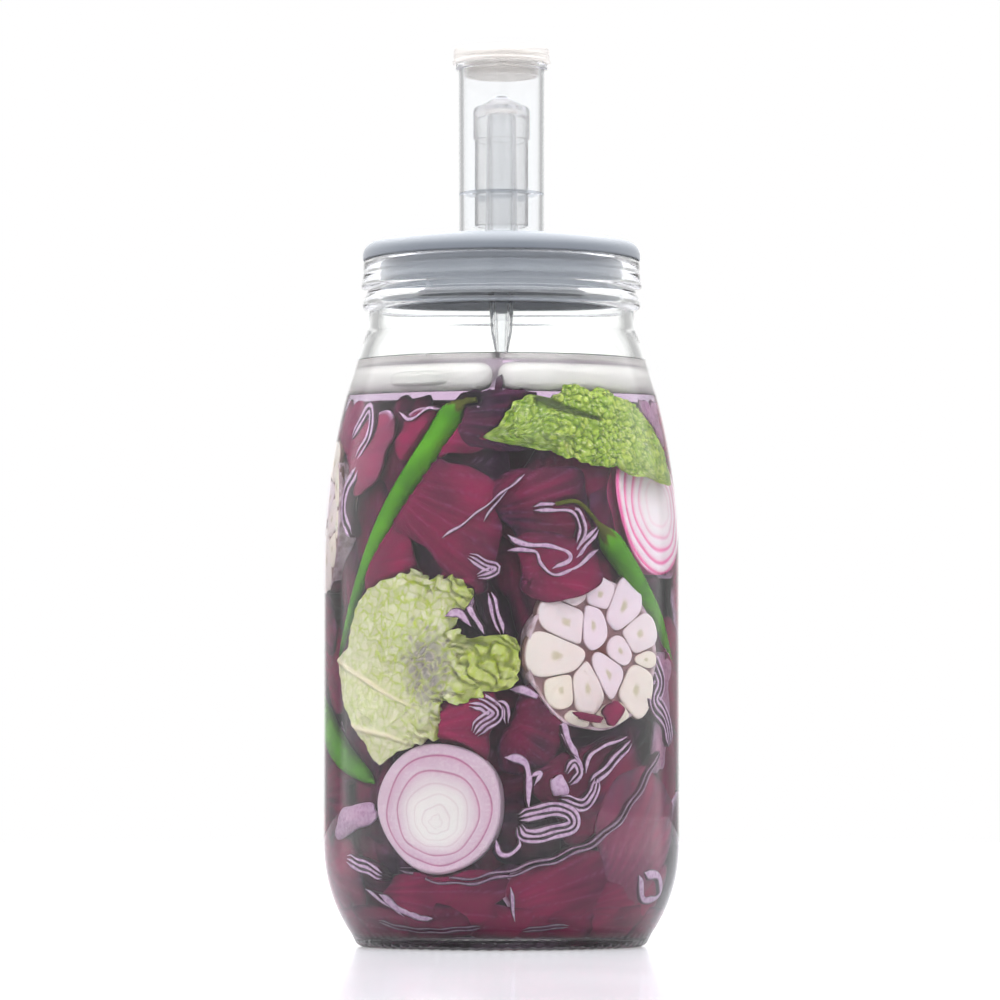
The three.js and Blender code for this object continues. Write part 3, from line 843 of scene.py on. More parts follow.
@dataclass
class GlassJar:
    """The glass jar and its brine, in the sizes of its solid but for a thinner floor.

    Attributes:
        neck: bead, groove and band of the neck, as radius, height and rounding from corner to corner.
        stipple_band: radii at which the ridges under the jar start, are full, fall off and end.
        climb: how the brine climbs the glass, as distance from it and share of the meniscus.
    """

    radius: float = 70.0
    wall: float = 3.8
    rim_top: float = 270.0
    neck_radius: float = 52.6
    neck_bore: float = 48.6
    shoulder_from: float = 150.0
    shoulder_to: float = 238.0
    shoulder_arc: float = 260.0
    heel_top: float = 40.0
    heel_from: float = 5.0
    heel_arc: float = 62.0
    inner_heel_from: float = 9.5
    inner_bend: float = 4.0
    bearing_inner: float = 46.0
    bearing_outer: float = 54.5
    kick: float = 3.5
    floor: float = 4.6
    floor_crown: float = 6.4
    neck: tuple[tuple[float, float, float], ...] = (
        (52.6, 250.2, 1), (54.9, 251.2, 1.2), (54.9, 254.6, 2), (53.2, 257, 1), (53.4, 258.6, 0.8),
        (55.5, 259.4, 0.9), (55.4, 261.5, 1.5), (54.7, 264, 1.5), (54.7, 270, 1.2))
    stipple_band: tuple[float, ...] = (48.0, 50.0, 57.0, 58.6)
    stipples: int = 72
    stipple_depth: float = 0.35
    brine_level: float = 228.4
    meniscus: float = 1.3
    climb: tuple[tuple[float, float], ...] = ((9.0, 0.0), (4.0, 0.06), (2.0, 0.25), (1.0, 0.5), (0.4, 0.8))
    brine_overlap: float = 0.25
    segments: int = 288
    brine_segments: int = 192
    glass: ClearFinish = ClearFinish(
        "clear_glass", GLASS_IOR, srgb(254, 255, 254), 0.0, srgb(184, 188, 190), 3.5, (0.4, 0.4, 0.4))
    brine: ClearFinish = ClearFinish(
        "lilac_brine", WATER_IOR, shade=srgb(210, 186, 208), density=19.0, gloss=BLACK)

    def inner_radius(self, height: Array | float) -> Array:
        """Radius of the inside at a height between the floor and the neck."""
        height = np.asarray(height, float)
        low = np.clip(self.heel_top - np.maximum(height, self.inner_heel_from), 0, None)
        high = np.clip(height - self.shoulder_from, 0, None)
        heel = np.sqrt((self.heel_arc - self.wall) ** 2 - low**2) - self.heel_arc
        shoulder = np.sqrt((self.shoulder_arc - self.wall) ** 2 - high**2) - self.shoulder_arc
        side = self.radius + np.where(height < self.heel_top, heel, shoulder)
        left = np.sqrt(np.clip((height - self.floor) / (self.inner_heel_from - self.floor), 0, 1))
        corner = bent(self.bearing_inner, side - self.inner_bend, side, left)
        return np.where(height < self.inner_heel_from, corner, side)

    def wall_point(self, azimuth: Array, height: Array, inset: Array | float) -> Array:
        """Points set in from the inside of the glass.

        Args:
            azimuth: directions in degrees.
            height: heights.
            inset: distances from the glass.

        Returns:
            Points as x, y and z.
        """
        reach = self.inner_radius(height) - inset
        turn = np.radians(azimuth)
        return np.stack(np.broadcast_arrays(reach * np.sin(turn), -reach * np.cos(turn), height), axis=-1)

    def inner_side(self, top: float, outset: float) -> Array:
        """The inside's outline from a height down to the middle of the floor.

        Args:
            top: height to start from.
            outset: distance that the outline reaches into the glass.

        Returns:
            Points as radius and height.
        """
        heights = np.concatenate((np.linspace(top, self.shoulder_from, 24),
                                  np.linspace(self.shoulder_from, self.heel_top, 4)[1:],
                                  np.linspace(self.heel_top, self.inner_heel_from, 16)[1:]))
        side = np.stack((self.inner_radius(heights) + outset, heights), axis=-1)
        heel_end = side[-1]
        bend = np.array((heel_end[0] - self.inner_bend, self.floor - outset))
        base = np.array((self.bearing_inner, self.floor - outset))
        corner = bent(heel_end, bend, base, np.linspace(0, 1, 9)[1:, None])
        return np.concatenate((side, corner, [(0.0, self.floor_crown - outset)]))

    def build(self) -> None:
        """Makes the glass and the brine."""
        self.glass_body().piece("glass_jar", self.glass.material(), "glass", "jar")
        self.brine_body().piece("brine", self.brine.material(), "water")

    def glass_body(self) -> Shape:
        """The jar with its stippled base, neck bead, band and rim."""
        heel_angle = math.degrees(math.asin((self.heel_from - self.heel_top) / self.heel_arc))
        heel = arc((self.radius - self.heel_arc, self.heel_top), self.heel_arc, heel_angle, 0, 20)
        shoulder_angle = math.degrees(math.asin((self.shoulder_to - self.shoulder_from) / self.shoulder_arc))
        shoulder = arc((self.radius - self.shoulder_arc, self.shoulder_from), self.shoulder_arc,
                       0, shoulder_angle, 24)
        inner_arc = self.shoulder_arc - self.wall
        bore_side = self.neck_bore + self.shoulder_arc - self.radius
        inner_neck = self.shoulder_from + math.sqrt(inner_arc**2 - bore_side**2)
        outline = Profile().to(0, self.kick)
        outline.to(self.bearing_inner * 0.72, self.kick, 10).to(self.bearing_inner, 0, 4)
        outline.along(np.linspace((self.bearing_inner + 1, 0), (self.bearing_outer, 0), 5))
        outline.to(self.bearing_outer + 2.6, 0.9, 2).along(heel).along(shoulder[1:])
        outline.to(self.neck_radius, self.shoulder_to + 5.6, 6)
        for corner in self.neck:
            outline.to(*corner)
        outline.to(self.neck_bore + 1, self.rim_top, 1.6)
        outline.to(self.neck_bore, self.rim_top - 3, 2).to(self.neck_bore, inner_neck - 0.5, 5)
        outline.along(self.inner_side(inner_neck - 5, 0.0))
        return self.stippled(outline.turned(self.segments, closed=False))

    def stippled(self, made: Shape) -> Shape:
        """Presses the ring of short ridges into the bearing face and its outer edge.

        Args:
            made: the smooth jar.

        Returns:
            The same shape with its ridges.
        """
        x, y, z = made.points.T
        reach = np.hypot(x, y)
        turn = np.arctan2(x, -y)
        start, full, fall, end = self.stipple_band
        band = smooth_step(start, full, reach) * (1 - smooth_step(fall, end, reach)) * (z < self.heel_from)
        made.points[:, 2] += self.stipple_depth * band * (0.5 - 0.5 * np.cos(self.stipples * turn))
        return made

    def brine_body(self) -> Shape:
        """The brine, which reaches just into the glass and climbs a little at it."""
        outline = Profile().to(0, self.brine_level)
        edge = float(self.inner_radius(self.brine_level)) + self.brine_overlap
        for back, climb in self.climb:
            outline.to(edge - back, self.brine_level + climb * self.meniscus)
        outline.along(self.inner_side(self.brine_level + self.meniscus, self.brine_overlap))
        return outline.turned(self.brine_segments, closed=False)


# Lid and airlock


@dataclass
class PlugLid:
    """The silicone lid that plugs the neck, in the sizes of its solid."""

    radius: float = 54.8
    underside: float = 270.3
    top: float = 277.6
    edge_round: float = 5.5
    plug_radius: float = 47.2
    plug_bore: float = 42.4
    plug_bottom: float = 253.8
    rib_radius: float = 48.1
    rib_half: float = 1.3
    rib_heights: tuple[float, ...] = (257.5, 262.0, 266.5)
    web_under: float = 271.6
    boss_radius: float = 9.5
    boss_bottom: float = 267.5
    hole: float = 6.4
    segments: int = 160
    finish: SiliconeFinish = SiliconeFinish()

    def build(self) -> None:
        """Makes the lid with its ribs."""
        outline = Profile().to(self.hole, self.boss_bottom, 0.5).to(self.boss_radius, self.boss_bottom, 1)
        outline.to(self.boss_radius, self.web_under, 1.5).to(self.plug_bore, self.web_under, 2)
        outline.to(self.plug_bore, self.plug_bottom, 1).to(self.plug_radius, self.plug_bottom, 1.4)
        for height in self.rib_heights:
            outline.to(self.plug_radius, height - self.rib_half, 0.4)
            outline.to(self.rib_radius, height, 0.8)
            outline.to(self.plug_radius, height + self.rib_half, 0.4)
        outline.to(self.plug_radius, self.underside, 0.6).to(self.radius, self.underside, 0.7)
        edge = (self.radius - self.edge_round, self.top - self.edge_round)
        outline.along(arc(edge, self.edge_round, 0, 90, 12)).to(self.hole, self.top, 0.4)
        made = outline.turned(self.segments)
        # Marks the plug, which the finish paints lighter as painted light.
        made.values["plug"] = (made.points[:, 2] < self.underside - 0.5).astype(float)
        made.piece("silicone_lid", self.finish.material(), "silicone", "lid")


@dataclass
class Airlock:
    """The chamber with its riser and stem, the floating dome, the water and the cap."""

    floor_under: float = 277.9
    floor_top: float = 280.2
    base_radius: float = 16.8
    top_radius: float = 17.05
    wall: float = 1.7
    flange_radius: float = 18.2
    flange_from: float = 346.3
    top: float = 348.3
    riser_outer: float = 6.4
    riser_bore: float = 4.4
    riser_top: float = 330.0
    stem_radius: float = 6.0
    stem_tip: float = 233.0
    tip_radius: float = 2.4
    tip_bore: float = 1.5
    dome_radius: float = 11.15
    dome_wall: float = 1.5
    dome_bottom: float = 284.0
    dome_shoulder: float = 331.0
    dome_top: float = 336.0
    nub_radius: float = 3.0
    dome_step: float = 0.6
    step_height: float = 318.5
    water_level: float = 296.0
    water_gap: float = 0.3
    line_lift: float = 0.9
    line_radius: float = 0.6
    cap_radius: float = 19.0
    cap_lip: float = 19.5
    cap_bottom: float = 348.6
    cap_top: float = 354.5
    cap_web: float = 2.0
    cap_skirt_inner: float = 16.4
    ring_inner: float = 13.0
    ring_outer: float = 14.7
    ring_bottom: float = 343.5
    segments: int = 112
    clear: ClearFinish = ClearFinish(
        "clear_plastic", PLASTIC_IOR, srgb(250, 251, 252), 0.06, srgb(186, 188, 192), 20.0)
    dome: MilkyFinish = MilkyFinish("milky_dome", srgb(247, 247, 247), 0.94, 0.06)
    cap: MilkyFinish = MilkyFinish("milky_cap", srgb(222, 219, 216), 0.88, 0.35)
    water: ClearFinish = ClearFinish("airlock_water", 1.003, shade=srgb(214, 222, 230), density=3.0)
    line: ClearFinish = ClearFinish("airlock_water_line", WATER_IOR, srgb(206, 210, 214))

    def build(self) -> None:
        """Makes the airlock's five pieces."""
        chamber = self.body_outline().turned(self.segments)
        chamber.piece("airlock_chamber", self.clear.material(), "clear_plastic", "airlock_body")
        dome = self.dome_outline().turned(self.segments, closed=False)
        dome.piece("airlock_float", self.dome.material(), "frosted_plastic", "airlock_dome")
        cap = self.cap_outline().turned(self.segments, closed=False)
        cap.piece("airlock_top", self.cap.material(), "cap_plastic", "airlock_cap")
        water = self.water_outline().turned(self.segments)
        water.piece("airlock_water_ring", self.water.material(), "water", "airlock_water")
        self.water_line().piece("airlock_water_line", self.line.material(), "water", "airlock_water")

    def body_outline(self) -> Profile:
        """Outline of the chamber, its flange, riser and stem."""
        outline = Profile().to(self.tip_bore, self.stem_tip, 0.3).to(self.tip_radius, self.stem_tip, 0.5)
        outline.to(self.stem_radius - 1.9, self.stem_tip + 8.5, 2)
        outline.to(self.stem_radius - 1, PlugLid.plug_bottom, 2)
        outline.to(self.stem_radius, PlugLid.boss_bottom, 2).to(self.stem_radius, self.floor_under, 0.5)
        outline.to(self.base_radius, self.floor_under, 1.2).to(self.top_radius, self.flange_from, 0.5)
        outline.to(self.flange_radius, self.flange_from, 0.5).to(self.flange_radius, self.top, 0.5)
        outline.to(self.top_radius - self.wall, self.top, 0.5)
        outline.to(self.base_radius - self.wall, self.floor_top, 1.2).to(self.riser_outer, self.floor_top, 1)
        outline.to(self.riser_outer - 0.6, self.riser_top, 0.6).to(self.riser_bore, self.riser_top, 0.6)
        return outline.to(self.riser_bore, self.floor_top, 1).to(self.riser_bore - 1, PlugLid.boss_bottom, 1)

    def dome_outline(self) -> Profile:
        """Outline of the floating dome with its small nub."""
        inner = self.dome_radius - self.dome_wall
        under = self.riser_top + 0.4
        outline = Profile().to(0, under).to(inner - 3, under, 1).to(inner, under - 3, 2)
        outline.to(inner, self.dome_bottom, 0.5).to(self.dome_radius - self.dome_step, self.dome_bottom, 0.5)
        outline.to(self.dome_radius - self.dome_step, self.step_height, 0.3)
        outline.to(self.dome_radius, self.step_height, 0.3).to(self.dome_radius, self.dome_shoulder, 1.6)
        outline.to(self.nub_radius + 1.2, self.dome_top - 1.6, 2)
        outline.to(self.nub_radius, self.dome_top - 0.6, 0.6)
        return outline.to(self.nub_radius * 0.7, self.dome_top, 0.8).to(0, self.dome_top)

    def cap_outline(self) -> Profile:
        """Outline of the cap with its lip and inner ring."""
        web = self.cap_top - self.cap_web
        outline = Profile().to(0, web).to(self.ring_inner, web, 0.6)
        outline.to(self.ring_inner, self.ring_bottom, 0.5).to(self.ring_outer, self.ring_bottom, 0.5)
        outline.to(self.ring_outer, web, 0.5)
        outline.to(self.cap_skirt_inner, web, 0.5).to(self.cap_skirt_inner, self.cap_bottom, 0.3)
        outline.to(self.cap_lip, self.cap_bottom, 0.5).to(self.cap_lip, self.cap_bottom + 1, 0.4)
        outline.to(self.cap_radius, self.cap_bottom + 1.5, 0.4)
        return outline.to(self.cap_radius, self.cap_top, 0.7).to(0, self.cap_top)

    def water_outline(self) -> Profile:
        """Outline of the water ring, which reaches just into the chamber's wall and floor."""
        reach = 0.15
        inner = self.riser_outer - 0.1
        outer = self.base_radius - self.wall + reach
        skirt_inner = self.dome_radius - self.dome_wall - self.water_gap
        skirt_outer = self.dome_radius + self.water_gap
        groove = self.dome_bottom - self.water_gap
        outline = Profile().to(inner, self.floor_top - reach).to(outer, self.floor_top - reach)
        outline.along(self.meniscus(outer, skirt_outer)).to(skirt_outer, groove).to(skirt_inner, groove)
        return outline.along(self.meniscus(skirt_inner, inner))

    def water_line(self) -> Shape:
        """Two thin rings of water that climb at the chamber's wall and at the dome."""
        rings = []
        for radius in (self.base_radius - self.wall - 0.3, self.dome_radius - self.dome_step + 0.35):
            ring = arc((radius, self.water_level + self.line_lift), self.line_radius, 0, 360, 13)[:-1]
            rings.append(Profile().along(ring).turned(self.segments))
        return Shape.joined(rings)

    def meniscus(self, start: float, end: float) -> Array:
        """Hollow water surface between two walls.

        Args:
            start: radius of the first wall.
            end: radius of the second wall.

        Returns:
            Points as radius and height.
        """
        share = np.linspace(-1, 1, 13)
        sag = 0.22 * abs(start - end)
        radius = (start + end) / 2 + share * (end - start) / 2
        return np.stack((radius, self.water_level + sag * (share**2 + 0.6 * share**6)), axis=-1)


# Ceramic weights


@dataclass
class Weights:
    """Two half-moon weights that hold the vegetables down."""

    radius: float = 53.5
    bottom: float = 214.3
    top: float = 225.5
    edge_round: float = 4.6
    corner_round: float = 7.0
    slit: float = 1.8
    turn: float = -2.8
    foot_azimuth: float = -36.0
    foot_height: float = 219.8
    foot_size: tuple[float, float, float] = (14.0, 5.0, 3.0)
    foot_proud: float = 3.0
    foot_power: float = 0.55
    finish: GlazeFinish = GlazeFinish()

    def build(self) -> None:
        """Makes both weights with one finish."""
        glaze = self.finish.material()
        self.half_moon(0.0).piece("half_moon_right", glaze, "ceramic", "weight_right")
        left = Shape.joined([self.half_moon(180.0), self.foot()])
        left.piece("half_moon_left", glaze, "ceramic", "weight_left")

    def foot(self) -> Shape:
        """The small rounded foot at the left one's front edge."""
        half_width, half_depth, half_height = self.foot_size
        angle = np.linspace(-np.pi / 2, np.pi / 2, 25)
        outline = Profile()
        for c, s in zip(np.cos(angle), np.sin(angle)):
            outline.to(abs(c) ** self.foot_power, math.copysign(abs(s) ** self.foot_power, s))
        made = outline.turned(64, closed=False)
        across, out, up = (made.points * (half_width, half_depth, half_height)).T
        reach = self.radius - half_depth + self.foot_proud - across**2 / (2 * self.radius)
        x, y = spun(across, out - reach, math.radians(self.foot_azimuth))
        made.points = np.column_stack((x, y, up + self.foot_height))
        return made

    def outline(self) -> Array:
        """The right half-moon's widest outline, counter-clockwise.

        Returns:
            Points as x and y.
        """
        flat = self.slit / 2
        inner = self.radius - self.corner_round
        lift = math.sqrt(inner**2 - (flat + self.corner_round) ** 2)
        corner = math.degrees(math.atan2(lift, flat + self.corner_round))
        centre = (flat + self.corner_round, lift)
        lower = arc((centre[0], -lift), self.corner_round, -180, -corner, 16)
        round_side = arc((0.0, 0.0), self.radius, -corner, corner, 90)[1:-1]
        upper = arc(centre, self.corner_round, corner, 180, 16)
        straight = np.linspace(upper[-1], lower[0], 40)[1:-1]
        return np.concatenate((lower, round_side, upper, straight))

    def half_moon(self, spin: float) -> Shape:
        """A slab with rounded edges.

        Args:
            spin: 0 for the right one and 180 for the left one.

        Returns:
            The slab in its place.
        """
        outline = self.outline()
        along = np.roll(outline, -1, axis=0) - np.roll(outline, 1, axis=0)
        inward = np.stack((-along[:, 1], along[:, 0]), axis=-1) / np.hypot(*along.T)[:, None]
        middle = (self.top + self.bottom) / 2
        straight = (self.top - self.bottom) / 2 - self.edge_round
        layers = []
        for angle in np.radians(np.linspace(-90, 90, 17)):
            ring = outline + inward * self.edge_round * (1 - math.cos(angle))
            height = middle + np.sign(angle) * straight + self.edge_round * math.sin(angle)
            layers.append(np.column_stack((ring, np.full(len(ring), height))))
        centre = outline.mean(axis=0)
        ends = np.stack((layers[0], layers[-1]))
        ends[..., :2] = centre + (ends[..., :2] - centre) * 0.5
        made = capped(np.stack((ends[0], *layers, ends[1])), (*centre, self.bottom), (*centre, self.top))
        x, y, z = made.points.T
        made.points = np.column_stack((*spun(x, y, math.radians(spin + self.turn)), z))
        return made


# Vegetables


@dataclass
class Seat:
    """Where a half vegetable shows its cut face through the glass."""

    azimuth: float
    height: float
    inset: float = 1.0
    lean: float = 0.0
    spin: float = 0.0

    def depth(self, jar: GlassJar, radius: float) -> float:
        """Distance of the cut face from the jar's axis."""
        return math.sqrt((float(jar.inner_radius(self.height)) - self.inset) ** 2 - radius**2)

    def place(self, local: Array, jar: GlassJar, radius: float) -> Array:
        """Brings points to the seat.

        Args:
            local: points with the cut face in x and y, facing +z.
            jar: the jar that they lie in.
            radius: the half's radius.

        Returns:
            Points in the jar's space.
        """
        spin, lean, turn = (math.radians(v) for v in (self.spin, self.lean, self.azimuth))
        x, y, z = local.T
        x, y = spun(x, y, spin)
        z, y = spun(z, y, lean)
        return np.column_stack((*spun(x, -z - self.depth(jar, radius), turn), y + self.height))


@dataclass
class Onion:
    """A cut onion half with its layers' edges, as share of the way from heart to rim and strength."""

    name: str
    node: str
    seat: Seat
    finish: OnionFinish
    lines: tuple[tuple[float, float], ...]
    heart: tuple[float, float] = (-3.2, -5.4)
    radius: float = 26.0
    bulge: float = 21.0
    groove: float = 0.45
    line_width: float = 0.011
    blush_width: float = 0.05
    mesh: Disc = Disc(110, 168, 3)

    def build(self, jar: GlassJar) -> None:
        """Makes the half in its seat."""
        reach, turn = self.mesh.reach(), self.mesh.turn()
        wobble = 1 + 0.018 * np.sin(3 * turn + 0.7) + 0.012 * np.sin(5 * turn)
        x, y = polar(self.radius * wobble * reach, turn)
        layer = self.layers(x, y)
        line = np.zeros_like(layer)
        blush = np.zeros_like(layer)
        for place, strength in self.lines:
            line = np.maximum(line, strength * bell(layer - place, self.line_width))
            fade = np.exp(-np.clip(place - layer, 0, 1) / self.blush_width)
            blush = np.maximum(blush, strength * fade * (layer < place))
        crown = 0.5 * np.cos(np.pi * layer * 6) * (layer < 0.9)
        face_height = -self.groove * line + 0.12 * crown - 0.8 * smooth_step(0.965, 1.0, reach)
        front = np.column_stack((x, y, face_height))
        back = np.column_stack((x, y, -self.bulge * dome(reach) - 0.9))
        rind = smooth_step(0.972, 0.995, reach)
        shape = self.mesh.sheet(front, back, line=line, blush=blush, layer=layer, rind=rind)
        shape.values["rind"][len(front):] = 1.0
        shape.points = self.seat.place(shape.points, jar, self.radius)
        shape.piece(self.name, self.finish.material(), "onion", self.node)

    def layers(self, x: Array, y: Array) -> Array:
        """Share of the way from the onion's heart to its rim, layer by layer.

        Args:
            x: first coordinate on the face.
            y: second coordinate.

        Returns:
            0 at the heart and 1 at the rim, on circles that drift with the heart.
        """
        hx, hy = self.heart
        qx, qy = x - hx, y - hy
        dot = qx * hx + qy * hy
        room = self.radius**2 - hx**2 - hy**2
        share = (dot + np.sqrt(dot**2 + (qx**2 + qy**2) * room)) / room
        turn = np.arctan2(qy, qx)
        return share + 0.012 * np.sin(4 * turn + 6 * share) + 0.008 * np.sin(7 * turn - 9 * share)


@dataclass
class Clove:
    """A clove's cut end: its middle and half sizes, its turn in degrees and how creamy it is."""

    across: float
    up: float
    half_width: float
    half_height: float
    turn: float = 0.0
    warm: float = 0.0
    power: float = 2.4

    def reach(self, direction: Array | float) -> Array:
        """Reach of its outline in a direction given in radians."""
        local = np.asarray(direction) - math.radians(self.turn)
        return ((np.abs(np.cos(local)) / self.half_width) ** self.power
                + (np.abs(np.sin(local)) / self.half_height) ** self.power) ** (-1 / self.power)


@dataclass
class Garlic:
    """A cut bulb of garlic: clove ends that stand a little proud of the skins between them."""

    name: str
    node: str
    seat: Seat
    finish: GarlicFinish
    radius: float = 29.0
    bulge: float = 21.0
    recess: float = 1.2
    fullness: float = 1.26
    gap: float = 0.05
    corner: float = 9.0
    skin_mesh: Disc = Disc(40, 120, 2)
    clove_mesh: Disc = Disc(14, 48, 7)
    cloves: tuple[Clove, ...] = (
        Clove(-12.2, 12.2, 10.6, 7.2, -38, 0.25), Clove(-16.6, -0.6, 11.2, 8.4, -8, 0.6),
        Clove(-14.8, -13.6, 5.6, 6.2, 10, 0.9), Clove(-3.2, -13.0, 6.4, 11.0, 4, 0.5),
        Clove(6.2, -7.6, 5.4, 9.8, 14, 0.1), Clove(18.6, -13.4, 6.9, 9.6, -16, 0.7),
        Clove(11.4, 1.6, 4.6, 5.6, 12, 0.1), Clove(20.4, 8.4, 7.4, 6.6, 18, 0.2),
        Clove(12.8, 18.6, 7.0, 9.2, -16), Clove(-0.8, 11.4, 5.4, 9.2, 8),
        Clove(2.4, 23.0, 6.6, 5.6, -30), Clove(23.6, -1.6, 4.6, 2.8, 4, 0.8),
        Clove(7.6, -22.6, 8.4, 3.8, 18, 0.9), Clove(-8.4, 22.6, 5.4, 3.4, 24, 0.2),
        Clove(-7.4, -24.4, 4.8, 2.4, -16, 0.9),
    )

    def build(self, jar: GlassJar) -> None:
        """Makes the bulb in its seat."""
        shape = Shape.joined([self.skins(), *[self.clove(i, c) for i, c in enumerate(self.cloves)]])
        shape.points = self.seat.place(shape.points, jar, self.radius)
        shape.piece(self.name, self.finish.material(), "garlic", self.node)

    def skins(self) -> Shape:
        """The bulb's outer skin and the skins between the cloves."""
        reach, turn = self.skin_mesh.reach(), self.skin_mesh.turn()
        lobes = 1 + 0.012 * np.cos(9 * turn)
        x, y = polar(self.radius * lobes * reach, turn)
        rise = 0.5 * ripple(x, y, 4.0, 3) - 0.4
        rim = smooth_step(0.93, 0.99, reach)
        front = np.column_stack((x, y, -self.recess + rise * (1 - rim) + 0.9 * rim))
        back = np.column_stack((x, y, -self.recess - 0.8 - self.bulge * dome(reach)))
        blank = np.zeros_like(reach)
        heart = bell(np.hypot(x - 3, y - 1), 6)
        edge = (0.8 + 0.2 * heart) * (1 - rim)
        shape = self.skin_mesh.sheet(front, back, warm=blank, germ=blank, rim=edge, rind=rim)
        shape.values["rind"][len(front):] = 1.0
        return shape

    def clove(self, index: int, clove: Clove) -> Shape:
        """One clove's cut end.

        Args:
            index: the clove's number, which settles its small unevenness.
            clove: its place.

        Returns:
            A closed shape that reaches down into the skins.
        """
        reach, turn = 1 - (1 - self.clove_mesh.reach()) ** 1.8, self.clove_mesh.turn()
        shy = 1 / (clove.reach(turn) * self.fullness) ** self.corner
        for other in self.cloves:
            step = np.array((other.across - clove.across, other.up - clove.up))
            apart, towards = np.hypot(*step), math.atan2(step[1], step[0])
            if other is clove or apart > clove.reach(towards) + other.reach(towards) + 4:
                continue
            share = clove.reach(towards) / (clove.reach(towards) + other.reach(towards))
            limit = (share * apart - self.gap) / np.maximum(np.cos(turn - towards), 0.05)
            shy = shy + 1 / limit**self.corner
        rim = shy ** (-1 / self.corner) * (1 + 0.02 * np.sin(3 * turn + 2 * index))
        x, y = polar(reach * rim, turn)
        x, y = clove.across + x, clove.up + y
        u, v = polar(reach, turn - math.radians(clove.turn))
        fall = 1.3 * smooth_step(0.94, 1.0, reach) ** 2
        front = np.column_stack((x, y, 0.12 * np.sin(3 * u + index) - fall))
        back = np.column_stack((x, y, np.full(len(x), -4.0)))
        germ = bell((u / 0.17) ** 2 + (v / 0.22) ** 2, 1)
        edge = 0.85 * smooth_step(0.97, 1, reach)
        warm, rind = np.full(len(x), clove.warm), np.zeros_like(reach)
        return self.clove_mesh.sheet(front, back, warm=warm, germ=germ * 0.8, rim=edge, rind=rind)


@dataclass
class Chilli:
    """A green chilli from its stem to its tip, through places of azimuth, height and inset."""

    name: str
    node: str
    places: tuple[tuple[float, float, float], ...]
    radius: float = 5.2
    stem_radius: float = 1.2
    stem_share: float = 0.16
    calyx_share: float = 0.2
    taper: float = 1.6
    rings: int = 140
    sides: int = 32

    def line(self, jar: GlassJar, count: int) -> Array:
        """Middle line of the chilli in the jar's space."""
        route = np.array(self.places)
        points = jar.wall_point(route[:, 0], route[:, 1], route[:, 2])
        return smooth_curve(points, count)

    def girth(self, share: Array) -> Array:
        """Radius along the length, given as shares of it."""
        along = np.clip((share - self.calyx_share) / (1 - self.calyx_share), 0, 1)
        fruit = self.radius * (1 - 0.82 * along**self.taper) * np.sqrt(np.clip((1 - along) / 0.05, 0, 1))
        collar = smooth_step(self.stem_share - 0.02, self.calyx_share + 0.1, share)
        return self.stem_radius * (1 - collar) + np.maximum(fruit, 0.05) * collar

    def build(self, jar: GlassJar, skin: bpy.types.Material) -> None:
        """Makes the chilli.

        Args:
            jar: the jar that it lies in.
            skin: the finish that all chillies share.
        """
        line = self.line(jar, self.rings)
        along = np.gradient(line, axis=0)
        along /= np.linalg.norm(along, axis=1)[:, None]
        out = line * (1, 1, 0)
        side = np.cross(along, out)
        side /= np.linalg.norm(side, axis=1)[:, None]
        lift = np.cross(side, along)
        share = np.linspace(0, 1, self.rings)
        turn = np.linspace(0, 2 * np.pi, self.sides, endpoint=False)
        uneven = 1 + 0.05 * np.sin(3 * turn + 9 * share[:, None]) * (share[:, None] > self.calyx_share)
        reach = self.girth(share)[:, None] * uneven
        points = (line[:, None, :] + reach[..., None] * (np.cos(turn)[None, :, None] * side[:, None, :]
                  + np.sin(turn)[None, :, None] * lift[:, None, :]))
        teeth = 0.018 * np.cos(5 * turn)[None, :]
        stem = 1 - smooth_step(self.calyx_share + 0.02, self.calyx_share + 0.05, share[:, None] + teeth)
        stem = np.broadcast_to(stem, (self.rings, self.sides)).ravel()
        fruit = capped(points, line[0], line[-1], stem=np.concatenate((stem, (1.0, 0.0))))
        fruit.piece(self.name, skin, "chilli", self.node)


